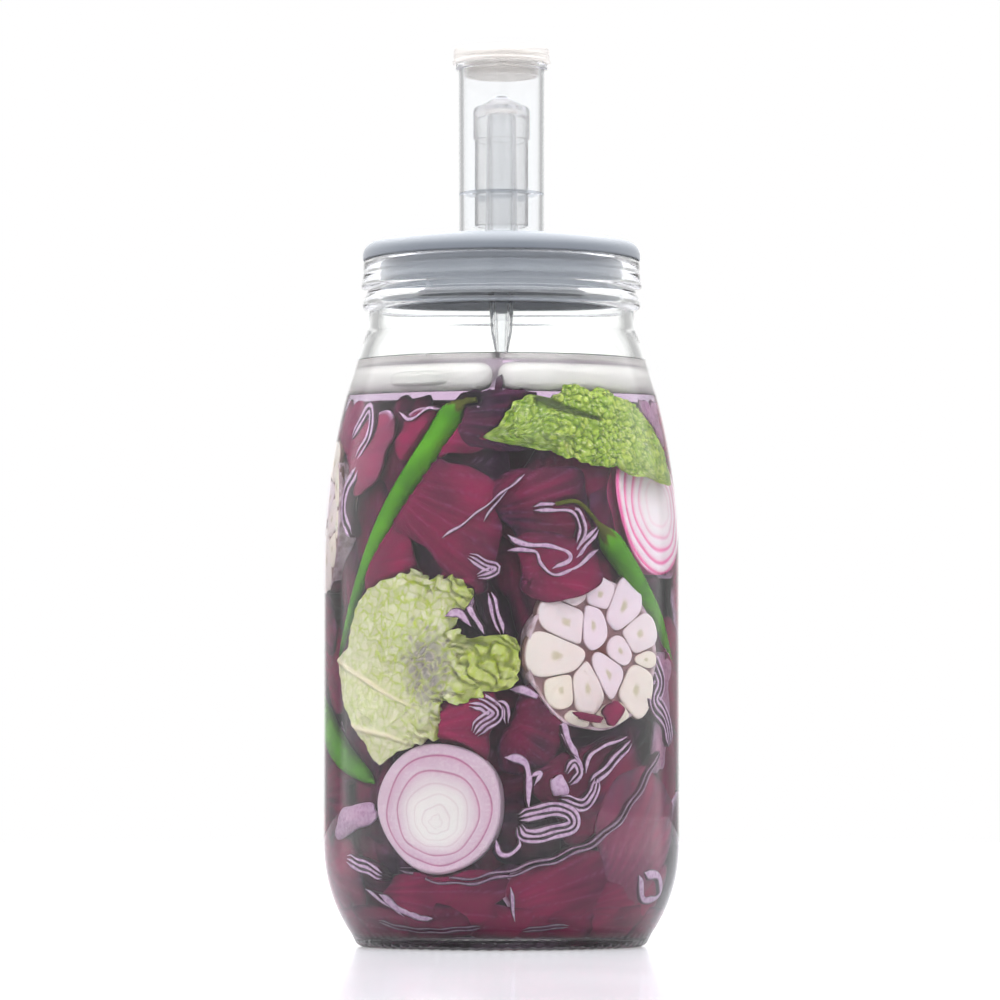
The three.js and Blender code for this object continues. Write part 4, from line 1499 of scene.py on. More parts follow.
@dataclass
class CrinkledLeaf:
    """A blistered leaf on the glass.

    Attributes:
        edge: its outline, as pairs of direction in degrees and reach.
        cell: size of a blister.
        blister: depth of its relief.
        net_proud: whether the net of veins stands out, and not the blisters between.
        net_width: width of the veins as a share of a blister.
        frill: strength of the ruffles at its edge.
        ragged_from: distance to the right of its middle from which the edge is ragged.
        ribs: its thick ribs, as places of azimuth and height.
        crease: its fold, likewise.
        clear: azimuth, height and radius of a glassy spot.
        green_from: distance to the right of its middle from which it is all green.
        shaded_until: distance to the right of its middle up to which it is painted darker, as painted shade.
        white_corner: whether its lower left corner is white.
        painted_glints: strength of the pale specks on its small blisters, painted highlights.
        reach_per_degree: length along the glass of one degree.
    """

    name: str
    node: str
    azimuth: float
    height: float
    edge: tuple[tuple[float, float], ...]
    finish: CrinkledLeafFinish
    seed: int
    cell: float = 3.8
    blister: float = 1.6
    net_proud: bool = False
    net_width: float = 0.3
    frill: float = 0.6
    ragged_from: float = -1e3
    ribs: tuple[Points, ...] = ()
    crease: Points | None = None
    clear: tuple[float, float, float] = (0.0, 0.0, 1e-3)
    green_from: float = 1e3
    shaded_until: float = -1e3
    white_corner: bool = False
    painted_glints: float = 0.6
    thickness: float = 0.8
    inset: float = 0.7
    reach_per_degree: float = math.radians(1) * (GlassJar.radius - GlassJar.wall)
    mesh: Disc = Disc(100, 380, 4)

    def local(self, places: Points) -> Array:
        """Places of azimuth and height as millimetres from the leaf's middle."""
        return (np.array(places) - (self.azimuth, self.height)) * (self.reach_per_degree, 1)

    def outline(self, turn: Array) -> Array:
        """Reach of the leaf in millimetres in a direction given in radians."""
        directions, reaches = np.array(self.edge).T
        return np.interp(turn, np.radians(directions), reaches, period=2 * np.pi)

    def covers(self, across: Array, up: Array) -> Array:
        """Share of the way to the leaf's edge at places given in millimetres from its middle."""
        return np.hypot(across, up) / self.outline(np.arctan2(up, across))

    def build(self, room: "Packing") -> None:
        """Makes the leaf against the glass and behind what lies in front of it.

        Args:
            room: the jar and where the other vegetables lie.
        """
        reach, turn = self.mesh.reach(), self.mesh.turn()
        rim = self.outline(turn)
        rim_across, rim_up = polar(rim, turn)
        frill = ripple(rim_across, rim_up, 6.0, self.seed)
        frill = frill + 0.4 * ripple(rim_across, rim_up, 2.6, self.seed + 1)
        ragged = smooth_step(self.ragged_from, self.ragged_from + 14, rim_across)
        across, up = polar(reach * (rim + self.frill * (0.25 + 0.75 * ragged) * frill * reach**4), turn)
        warped, risen = self.warped(across, up)
        near, far, chance = cells(warped, risen, self.cell, 1)
        small_near, small_far, small_chance = cells(warped, risen, self.cell * 0.45, self.seed + 5)
        net = bell(1 - near / far, self.net_width)
        fine_net = bell(1 - small_near / small_far, self.net_width)
        hollow = 1 - net if self.net_proud else (near / far) ** 3
        rib = self.main_ribs(across, up)
        crease = self.creased(across, up)
        spur = smooth_step(self.green_from, self.green_from + 8, across)
        edge = np.maximum(ragged * smooth_step(0.6, 1.0, reach), spur)
        lobe = np.abs(ripple(warped, risen, 8.0, self.seed + 4))
        ruffle = self.frill * edge * 2.2 * bell(lobe, 0.25)
        deep = self.inset + 1.2 * ripple(across, up, 24.0, self.seed) + 1.4 + self.blister * hollow
        deep = deep + 0.25 * self.blister * fine_net + ruffle + 2.6 * crease
        deep = deep + (self.inset - deep) * 0.6 * rib
        azimuth, height = self.azimuth + across / self.reach_per_degree, self.height + up
        deep = np.maximum(np.maximum(deep, 0.4), room.chilli_depth(azimuth, height))
        front = room.jar.wall_point(azimuth, height, deep)
        back = room.jar.wall_point(azimuth, height, self.mesh.deepest(deep) + self.thickness)
        white = smooth_step(0.0, 30.0, -across - up + 5 * ripple(across, up, 18.0, 9)) * self.white_corner
        spot_across, spot_up = self.local([self.clear[:2]])[0]
        spot = ((across - spot_across) / 0.85) ** 2 + ((up - spot_up) / 1.25) ** 2
        spot = spot * (1 + 0.5 * ripple(across, up, 5.0, self.seed + 9)) / self.clear[2] ** 2
        strong = 0.6 + 0.4 * smooth_step(-0.45, 0.45, ripple(across, up, 7.0, self.seed + 8))
        # Painted highlights: pale specks at the middles of some small blisters stand in for wet glints.
        painted_glint = bell(small_near, 0.13 * self.cell) * (small_chance > 0.6)
        self.mesh.sheet(
            front, back, vein=np.maximum(net, 0.35 * fine_net) * strong * (1 - 0.4 * white), cell=chance,
            # The pale values carry the ribs, the white corner and the painted highlights.
            pale=np.maximum(np.maximum(rib, self.painted_glints * painted_glint), 0.3 * white * (1 - net)),
            # Painted shade in the fold and in the dark gaps between the ruffles.
            shade=np.maximum(0.9 * crease, 0.3 * smooth_step(1.2, 3.2, ruffle)),
            clear=0.9 * bell(spot, 1) * (1 - 0.5 * net),
            # The green values turn the leaf to the vein colour: all green at its spur, and painted shade at
            # its left tip up to shaded_until.
            green=np.maximum(0.85 * smooth_step(self.green_from, self.green_from + 14, across),
                             0.45 * smooth_step(-self.shaded_until, 20 - self.shaded_until, -across)),
        ).piece(self.name, self.finish.material(), "green_leaf", self.node)

    def warped(self, across: Array, up: Array) -> tuple[Array, Array]:
        """Places on the leaf, shifted unevenly so that the net between its blisters runs crooked."""
        broad, fine = 0.35 * self.cell, 0.1 * self.cell
        shifts = []
        for seed in (self.seed + 2, self.seed + 3):
            shifts.append((broad * ripple(across, up, 9.0, seed), fine * ripple(across, up, 3.0, seed + 4)))
        return across + shifts[0][0] + shifts[0][1], up + shifts[1][0] + shifts[1][1]

    def creased(self, across: Array, up: Array) -> Array:
        """Strength of the leaf's fold, which narrows along its way."""
        if self.crease is None:
            return np.zeros_like(across)
        gap, share = off_route(self.local(self.crease), across, up)
        return bell(gap, 2.6 - 2.0 * share, 4)

    def main_ribs(self, across: Array, up: Array) -> Array:
        """Strength of the thick ribs, which thin out along their way."""
        strength = np.zeros_like(across)
        for rib in self.ribs:
            gap, share = off_route(self.local(rib), across, up)
            strength = np.maximum(strength, bell(gap, 1.5 - 0.8 * share, 4) * (1 - share**6))
        return strength


# Packed red cabbage


@dataclass
class Packing:
    """Where the vegetables lie, so that what is packed round them stays behind."""

    jar: GlassJar
    onions: list[Onion]
    garlics: list[Garlic]
    chillies: list[Chilli]
    leaves: list[CrinkledLeaf]
    clearance: float = 1.3
    leaf_room: float = 7.0
    chilli_steps: int = 60

    def arc_length(self, azimuth: Array, middle: float) -> Array:
        """Distance along the glass from a middle direction."""
        turn = np.mod(azimuth - middle + 180, 360) - 180
        return np.radians(turn) * (self.jar.radius - self.jar.wall)

    def chilli_depth(self, azimuth: Array, height: Array) -> Array:
        """Inset at which a point is clear of the chillies."""
        depth = np.zeros(azimuth.shape)
        for chilli in self.chillies:
            line = chilli.line(self.jar, self.chilli_steps)
            girth = chilli.girth(np.linspace(0, 1, self.chilli_steps))
            turn = np.degrees(np.arctan2(line[:, 0], -line[:, 1]))
            inset = self.jar.inner_radius(line[:, 2]) - np.hypot(line[:, 0], line[:, 1])
            for az, z, r, deep in zip(turn, line[:, 2], girth, inset):
                gap = np.hypot(self.arc_length(azimuth, az), height - z) / (r + self.clearance)
                reach = deep + (r + self.clearance) * dome(gap)
                depth = np.where(gap < 1, np.maximum(depth, reach), depth)
        return depth

    def depth(self, azimuth: Array, height: Array) -> Array:
        """Inset at which a point is clear of every vegetable.

        Args:
            azimuth: directions in degrees.
            height: heights.

        Returns:
            The least inset, and 0 where nothing lies.
        """
        depth = self.chilli_depth(azimuth, height)
        for half in (*self.onions, *self.garlics):
            seat = half.seat
            across = self.arc_length(azimuth, seat.azimuth)
            gap = np.hypot(across, height - seat.height) / (half.radius + self.clearance + 0.4)
            face = float(self.jar.inner_radius(seat.height)) - seat.depth(self.jar, half.radius)
            reach = face * 0.6 + (half.bulge + self.clearance) * dome(gap)
            depth = np.where(gap < 1, np.maximum(depth, reach), depth)
        for leaf in self.leaves:
            across = self.arc_length(azimuth, leaf.azimuth)
            inside = leaf.covers(across, height - leaf.height) < 1.02
            depth = np.where(inside, np.maximum(depth, self.leaf_room), depth)
        return depth


class Cut(Enum):
    """Which side of a broad cabbage leaf was cut, as the cut's middle and half-width in degrees."""

    NONE = (0.0, 0.0)
    TOP = (90.0, 60.0)
    LEFT = (180.0, 60.0)
    FOOT = (270.0, 60.0)
    RIGHT = (0.0, 60.0)
    ROUND = (0.0, 360.0)


@dataclass
class Patch:
    """A broad cabbage leaf that faces the glass.

    Attributes:
        lean: its turn in degrees on the glass.
        inset: distance of its middle from the glass.
        tone: 0 for the darkest leaf and 1 for the brightest.
        cut: which side shows a pale cut edge.
        pale: share of pale flesh all over.
        over: whether it lies in front of the vegetables.
        bulge: how far its edge falls back behind its middle.
        ceiling: height that it stays below.
    """

    azimuth: float
    height: float
    half_width: float
    half_height: float
    lean: float = 0.0
    inset: float = 1.6
    tone: float = 0.5
    cut: Cut = Cut.NONE
    pale: float = 0.0
    over: bool = False
    bulge: float = 1.8
    ceiling: float = 213.0


@dataclass
class Strand:
    """Cut leaves on edge, side by side, with their cut edges to the glass.

    Attributes:
        route: places of azimuth and height that its middle passes.
        layers: number of leaves.
        pitch: distance from leaf to leaf.
        wave: height of its waves.
        over: whether it lies in front of the vegetables.
        pale: share of pale flesh on its cut edge.
    """

    route: Points
    layers: int = 1
    thickness: float = 1.2
    pitch: float = 2.3
    wave: float = 0.25
    wavelength: float = 13.0
    inset: float = 1.2
    over: bool = False
    pale: float = 1.0


@dataclass
class RedCabbage:
    """Red cabbage packed round the vegetables: a core, broad leaves and leaves on edge.

    Attributes:
        room: where the other vegetables lie.
        cut_inside: where a leaf's cut edge starts, as a share of the way to its rim.
        squareness: 2 for an oval leaf, and more for a squarer one.
        vein_from: where a leaf's veins meet, in half-widths beside its middle.
        front_half: azimuth on both sides up to which leaves are placed one by one.
        behind: how much deeper the evenly spread leaves lie there.
    """

    room: Packing
    bottom: float = 5.7
    core_inset: float = 19.0
    core_top: float = 210.0
    core_grid: tuple[int, int] = (60, 120)
    golden_angle: float = 137.508
    patch_count: int = 110
    strand_count: int = 46
    floor_count: int = 14
    placed_grid: Disc = Disc(20, 80, 5)
    spread_grid: Disc = Disc(9, 32, 5)
    cut_inside: float = 0.985
    squareness: float = 3.4
    leaf_thickness: float = 1.6
    least_inset: float = 0.7
    vein_from: float = 1.6
    ribbon_step: float = 1.0
    ribbon_depth: float = 7.0
    ribbon_inset: float = 0.6
    front_half: float = 78.0
    behind: float = 7.0
    seed: int = 12
    finish: CabbageFinish = CabbageFinish()
    patches: tuple[Patch, ...] = (
        Patch(-58, 192, 15, 14, 10, tone=0.9, cut=Cut.TOP, pale=0.08),
        Patch(-24, 198, 21, 10, 0, tone=0.75, cut=Cut.TOP),
        Patch(-20, 168, 25, 20, -25, tone=0.6),
        Patch(15, 171, 21, 15, 10, tone=0.35, inset=3.0),
        Patch(20, 147, 19, 12, 4, tone=0.6, inset=1.0, over=True, bulge=1.0),
        Patch(-13, 146, 11, 9, 0, tone=0.4, inset=3.0),
        Patch(-13, 84, 13, 15, 0, tone=0.74),
        Patch(11, 84, 11, 18, -20, tone=0.36, inset=2.4),
        Patch(-43, 150, 13, 15, 10, tone=0.7),
        Patch(45, 19, 15, 9, 6, tone=0.65),
        Patch(36, 62, 27, 18, 25, tone=0.4, inset=3.4),
        Patch(56, 44, 28, 22, 50, tone=0.6, pale=0.07),
        Patch(-22, 20, 29, 11, -4, tone=0.68, inset=1.0),
        Patch(20, 22, 24, 14, 12, tone=0.62, inset=1.2, cut=Cut.LEFT),
        Patch(-70, 30, 14, 14, 0, tone=0.6),
        Patch(-74, 203, 11, 11, 0, tone=0.7, pale=0.12),
        Patch(76, 203, 11, 11, 0, tone=0.6, pale=0.5),
        Patch(-76, 58, 14, 14, 0, tone=0.4),
        Patch(66, 20, 14, 11, 0, tone=0.9, inset=2.4),
        Patch(72, 94, 9, 24, -6, tone=0.5, inset=2.6, pale=0.4),
        Patch(-62, 50, 15, 5.5, 12, tone=0.6, pale=0.7, bulge=2.0, inset=1.2, cut=Cut.ROUND),
        Patch(20, 63, 3.2, 4.2, 20, pale=1.0, inset=0.9, bulge=1.6),
        Patch(30.6, 89.4, 6.4, 1.5, -7, tone=0.7, inset=0.9, over=True, bulge=0.5),
        Patch(40.6, 91.2, 5.4, 3.8, 36, tone=0.6, inset=0.9, over=True, bulge=0.5),
        # Painted shade: two dark leaves under the weights; the narrow one is a dark sheet standing in the
        # slit between them.
        Patch(-3, 204, 25, 12, 0, tone=0.12, inset=1.6, ceiling=215.6),
        Patch(-1.4, 211, 1.8, 10, -2, tone=0.0, inset=3.2, over=True, bulge=0.6, ceiling=222),
    )
    strands: tuple[Strand, ...] = (
        Strand([(-67, 198), (-62, 206), (-58, 209), (-55, 204), (-56, 197), (-61, 190)], 2, 1.4, 2.6),
        Strand([(-60, 186), (-66, 178), (-67, 172), (-64, 165), (-60, 160)], 2, 1.6, 3.4),
        Strand([(-41, 207), (-36, 204), (-28, 208), (-22, 207), (-16, 208), (-8, 208)], 1, 1.0),
        Strand([(2, 159), (6, 156), (20, 154), (23, 150), (17, 146)], 1, 1.7, over=True),
        Strand([(2, 153), (11, 153), (13, 148), (18, 144), (24, 146), (34, 154)], 1, 1.3, over=True),
        Strand([(11, 169), (20, 170), (26, 168), (28, 162), (26, 156)], 2, 1.2, 2.4),
        Strand([(34, 162), (29, 156), (25, 151)], 2, 1.2, 2.2, over=True),
        Strand([(-20, 158), (-11, 165), (-1, 174), (8, 182)], 1, 0.7, inset=0.9),
        Strand([(-6, 164), (-2, 171), (3, 177)], 1, 0.6, inset=0.9),
        Strand([(-11, 151), (-6, 148), (-2, 146), (-8, 143)], 3, 0.9, 1.7),
        Strand([(-10, 137), (-11, 132), (-8, 126), (-6, 121)], 1, 2.0),
        Strand([(-4, 137), (-2, 129), (0, 121)], 2, 1.2, 2.4),
        Strand([(-19, 128), (-14, 129), (-10, 124)], 1, 2.4, over=True, inset=0.8),
        Strand([(-11, 95), (-6, 95), (-2, 91), (-6, 87), (-9, 83)], 4, 1.0, 1.9),
        Strand([(-2, 95), (1, 93), (2, 87)], 2, 1.1, 2.2),
        Strand([(3, 100), (9, 99), (15, 95), (20, 89), (22, 82), (26, 74)], 1, 2.4, inset=0.9),
        Strand([(59, 113), (65, 104), (62, 96), (71, 88), (74, 79)], 4, 1.2, 2.6),
        Strand([(29, 68), (31, 75), (36, 78), (46, 82)], 1, 1.3),
        Strand([(31, 64), (38, 70), (48, 80)], 2, 1.1, 2.6),
        Strand([(1, 74), (8, 72), (9, 63), (9, 55)], 1, 2.6, inset=0.9),
        Strand([(9, 66), (13, 68), (11, 63)], 1, 1.3),
        Strand([(20, 83), (25, 76), (28, 69)], 1, 1.9),
        Strand([(22, 68), (25, 72), (27, 68), (23, 64)], 2, 1.0, 1.9),
        Strand([(6, 51), (15, 54), (23, 53), (24, 48), (16, 45), (8, 44), (6, 48)], 3, 1.2, 2.1),
        Strand([(-2, 43), (-1, 38), (2, 37), (6, 40), (6, 43)], 1, 1.5),
        Strand([(20, 58), (28, 56), (32, 60), (33, 66)], 3, 1.0, 2.0),
        Strand([(65, 76), (53, 62), (36, 44), (11, 33), (-15, 27), (-36, 32)], 2, 0.7, 1.9, 0.5, 17, 1.0,
               pale=0.5),
        Strand([(3, 25), (4, 18), (5, 12)], 1, 1.2, inset=0.8),
        Strand([(-47, 22), (-40, 17), (-33, 14), (-26, 13)], 1, 2.8, inset=0.9),
        Strand([(-63, 35), (-52, 32), (-44, 29)], 3, 1.0, 2.0),
        Strand([(53, 29), (60, 20), (70, 22), (66, 28), (56, 30)], 1, 2.6, inset=0.9),
        Strand([(-54, 24), (-46, 19), (-38, 14)], 1, 1.2),
        # The two low strands are pale cut edges that also stand in as painted light on the dark base of the
        # glass.
        Strand([(-52, 12), (-40, 9.4), (-26, 8.6), (-8, 10)], 2, 0.4, 1.2, 0.15, inset=0.7, pale=0.55),
        Strand([(8, 8.6), (15, 9.6), (26, 10.4)], 2, 0.4, 1.2, 0.15, inset=0.7, pale=0.55),
    )

    def build(self) -> None:
        """Makes the three kinds of cabbage piece."""
        material = self.finish.material()
        draw = np.random.default_rng(self.seed)
        patches = [*self.patches, *[self.patch_elsewhere(i, draw) for i in range(self.patch_count)]]
        patches += [self.patch_on_floor(i, draw) for i in range(self.floor_count)]
        strands = [*self.strands, *[self.strand_elsewhere(i, draw) for i in range(self.strand_count)]]
        leaves = [self.leaf(i, patch) for i, patch in enumerate(patches)]
        ribbons = [ribbon for strand in strands for ribbon in self.ribbons(strand)]
        self.core().piece("cabbage_core", material, "red_cabbage", "red_cabbage")
        Shape.joined(leaves).piece("cabbage_leaves", material, "red_cabbage", "red_cabbage")
        Shape.joined(ribbons).piece("cabbage_cut_edges", material, "red_cabbage", "red_cabbage")

    def core(self) -> Shape:
        """The uneven inner heap behind the pieces that show."""
        rows, columns = self.core_grid
        height, azimuth = np.meshgrid(np.linspace(self.bottom, self.core_top, rows),
                                      np.linspace(0, 360, columns, endpoint=False), indexing="ij")
        unrest = ripple(np.radians(azimuth) * 60, height, 34.0, 4)
        inset = np.maximum(self.core_inset + 2.5 * unrest, self.room.depth(azimuth, height) + 1)
        # Pale cut flesh on the heap's underside, made pale also as painted light that lifts the dark foot of
        # the jar.
        underside = 1 - smooth_step(self.bottom + 1, self.bottom + 5, height)
        return capped(
            self.on_wall(azimuth, height, inset), (0, 0, self.bottom), (0, 0, self.core_top),
            pale=np.concatenate((0.8 * underside.ravel(), (0.8, 0.0))),
            tone=np.concatenate((0.1 + 0.1 * unrest.ravel(), (0.1, 0.1))), rib=np.zeros(rows * columns + 2))

    def on_wall(self, azimuth: Array, height: Array, inset: Array) -> Array:
        """Points set in from the glass that stay at or above the heap's bottom."""
        return self.room.jar.wall_point(azimuth, np.maximum(height, self.bottom), inset)

    def patch_elsewhere(self, index: int, draw: np.random.Generator) -> Patch:
        """A leaf of the even spread over the glass, which lies deeper where the shown ones are.

        Args:
            index: its number.
            draw: the heap's random numbers.

        Returns:
            The leaf.
        """
        azimuth = (index * self.golden_angle + 180) % 360 - 180
        height = self.bottom + 8 + (self.core_top - self.bottom - 20) * (index + 0.5) / self.patch_count
        deep = self.behind if abs(azimuth) < self.front_half else 0.0
        cut = Cut.NONE if deep else list(Cut)[int(draw.integers(0, 5))]
        # Painted shade: the deeper leaves in the front get a darker tone.
        return Patch(azimuth, height, draw.uniform(14, 27), draw.uniform(10, 18), draw.uniform(-90, 90),
                     deep + draw.uniform(1.2, 5.0), draw.uniform(0.1, 0.9) * (0.4 if deep else 1.0), cut,
                     bulge=draw.uniform(1, 3))

    def patch_on_floor(self, index: int, draw: np.random.Generator) -> Patch:
        """A leaf of the ring that stands on the jar's floor."""
        azimuth, height = 360 * index / self.floor_count, self.bottom + 6
        return Patch(azimuth, height, draw.uniform(16, 20), 6.2, draw.uniform(-5, 5), draw.uniform(1.2, 2.2),
                     draw.uniform(0.45, 0.75), bulge=0.8)

    def leaf(self, index: int, patch: Patch) -> Shape:
        """A broad leaf.

        Args:
            index: its number, which settles its small unevenness.
            patch: its place and size.

        Returns:
            A closed sheet with a pale edge where it was cut.
        """
        disc = self.placed_grid if index < len(self.patches) else self.spread_grid
        reach, turn = disc.reach(), disc.turn()
        reach = np.where(np.isclose(reach, 1 - 1 / disc.rings), self.cut_inside, reach)
        power = self.squareness
        square = (np.abs(np.cos(turn)) ** power + np.abs(np.sin(turn)) ** power) ** (-1 / power)
        uneven = 1 + 0.1 * np.sin(2 * turn + index) + 0.09 * np.sin(3 * turn + 2 * index)
        uneven = uneven + 0.04 * np.sin(5 * turn + 4 * index) + 0.02 * np.sin(9 * turn + 3 * index)
        x = patch.half_width * reach * square * uneven * np.cos(turn)
        y = patch.half_height * reach * square * uneven * np.sin(turn)
        across, up = spun(x, y, math.radians(patch.lean))
        unrest = ripple(x, y, 24.0, index)
        small = min(1.0, patch.half_height / 9)
        inset = patch.inset + patch.bulge * reach**2.5 + small * (0.9 * unrest + 0.8)
        place = patch.azimuth + np.degrees(across / GlassJar.radius)
        level = np.minimum(patch.height + up, patch.ceiling - 1.2 + 1.2 * ripple(across, up, 11.0, index + 9))
        if not patch.over:
            inset = np.maximum(inset, self.room.depth(place, level))
        inset = np.maximum(inset, self.least_inset)
        front = self.on_wall(place, level, inset)
        back = self.on_wall(place, level, disc.deepest(inset) + self.leaf_thickness)
        middle, half = patch.cut.value
        aside = np.abs(np.mod(np.degrees(turn) - middle + 180, 360) - 180)
        cut = smooth_step(0.975, 0.99, reach) * (1 - smooth_step(half - 8, half + 0.1, aside))
        pale = np.maximum(cut, patch.pale)
        start = self.vein_from * patch.half_width
        veins = np.abs(np.mod(np.arctan2(y + 0.4 * unrest, x + start) * 7, 1) - 0.5)
        rib = 0.5 * bell(veins, 0.035)
        streak = ripple(start * np.arctan2(y, x + start), 0.1 * np.hypot(y, x + start), 3.4, index + 7)
        # Painted shade: each leaf darkens towards its edge, where it falls back into the gaps.
        tone = patch.tone + 0.16 * ripple(x, y, 26.0, index + 8) + 0.12 * streak - 0.3 * reach**8
        return disc.sheet(front, back, pale=pale, tone=np.clip(tone, 0, 1), rib=rib)

    def strand_elsewhere(self, index: int, draw: np.random.Generator) -> Strand:
        """A strand of the even spread over the sides and back.

        Args:
            index: its number.
            draw: the heap's random numbers.

        Returns:
            The strand.
        """
        turn = (40 + index * self.golden_angle) % 360 / 360
        azimuth = self.front_half + 8 + (344 - 2 * self.front_half) * turn
        height = self.bottom + 15 + (self.core_top - self.bottom - 26) * (index + 0.5) / self.strand_count
        lean, length, bow = draw.uniform(0, np.pi), draw.uniform(8, 20), draw.uniform(-9, 9)
        route = []
        for t in (-1.0, -0.3, 0.4, 1.0):
            across, up = spun(length * t, bow * (1 - t * t), lean)
            route.append((azimuth + math.degrees(across / GlassJar.radius), height + up))
        return Strand(route, int(draw.integers(1, 5)), draw.uniform(0.9, 1.6), draw.uniform(1.8, 2.6),
                      draw.uniform(0.1, 0.7), draw.uniform(9, 18), draw.uniform(1.0, 2.4))

    def ribbons(self, strand: Strand) -> list[Shape]:
        """The leaves of one strand.

        Args:
            strand: their route and size.

        Returns:
            A closed ribbon for each leaf, with dark skins and a pale middle.
        """
        places = np.array(strand.route, float)
        per_degree = np.array((math.radians(1) * GlassJar.radius, 1))
        way = np.hypot(*np.diff(places * per_degree, axis=0).T).sum()
        count = int(np.clip(way / self.ribbon_step, 14, 140))
        route = smooth_curve(places, count)
        step = np.gradient(route, axis=0) * per_degree
        length = np.concatenate(([0], np.cumsum(np.hypot(*step.T))[:-1]))
        normal = np.stack((-step[:, 1], step[:, 0]), axis=-1) / np.maximum(np.hypot(*step.T), 1e-6)[:, None]
        half = strand.thickness / 2
        skin = half + 0.25
        right = np.array(((0.7 * half, 0.0), (half, 0.1), (skin, 0.5), (skin, self.ribbon_depth)))
        section = np.concatenate((right[::-1] * (-1, 1), right))
        pale_section = np.array((0.0, 0.0, 0.3, 0.95, 0.95, 0.3, 0.0, 0.0))
        width = len(section)
        ends = np.array([[*range(width)], [*range((count - 1) * width, count * width)]])
        caps = [np.stack((e[:3], e[1:4], e[::-1][1:4], e[::-1][:3]), axis=-1) for e in ends]
        quads = np.concatenate((grid(count, width, False, True), *caps))
        values = {"pale": np.tile(strand.pale * pale_section, count), "tone": np.full(count * width, 0.12),
                  "rib": np.zeros(count * width)}
        made = []
        for layer in range(strand.layers):
            aside = (layer - (strand.layers - 1) / 2) * strand.pitch
            wave = strand.wave * np.sin(2 * np.pi * length / strand.wavelength + 0.35 * layer)
            taper = np.clip(np.minimum(length, length[-1] - length) / 3.0, 0.12, 1.0)
            swell = 1 + 0.35 * np.sin(length / 5.1 + 2 * layer) * np.sin(length / 2.9)
            offset = (aside * (0.45 + 0.55 * taper) + wave)[:, None]
            offset = offset + section[None, :, 0] * (taper * swell)[:, None]
            place = route[:, :1] + np.degrees(offset * normal[:, :1] / GlassJar.radius)
            level = route[:, 1:] + offset * normal[:, 1:]
            inset = np.full((count, 1), strand.inset) + 0.4 * np.sin(length / 7 + layer)[:, None]
            if not strand.over:
                inset = np.maximum(inset, self.room.depth(place, level).max(axis=1, keepdims=True))
            points = self.on_wall(place, level, np.maximum(inset, self.ribbon_inset) + section[None, :, 1])
            made.append(Shape(points.reshape(-1, 3), quads, values=values))
        return made


# Studio


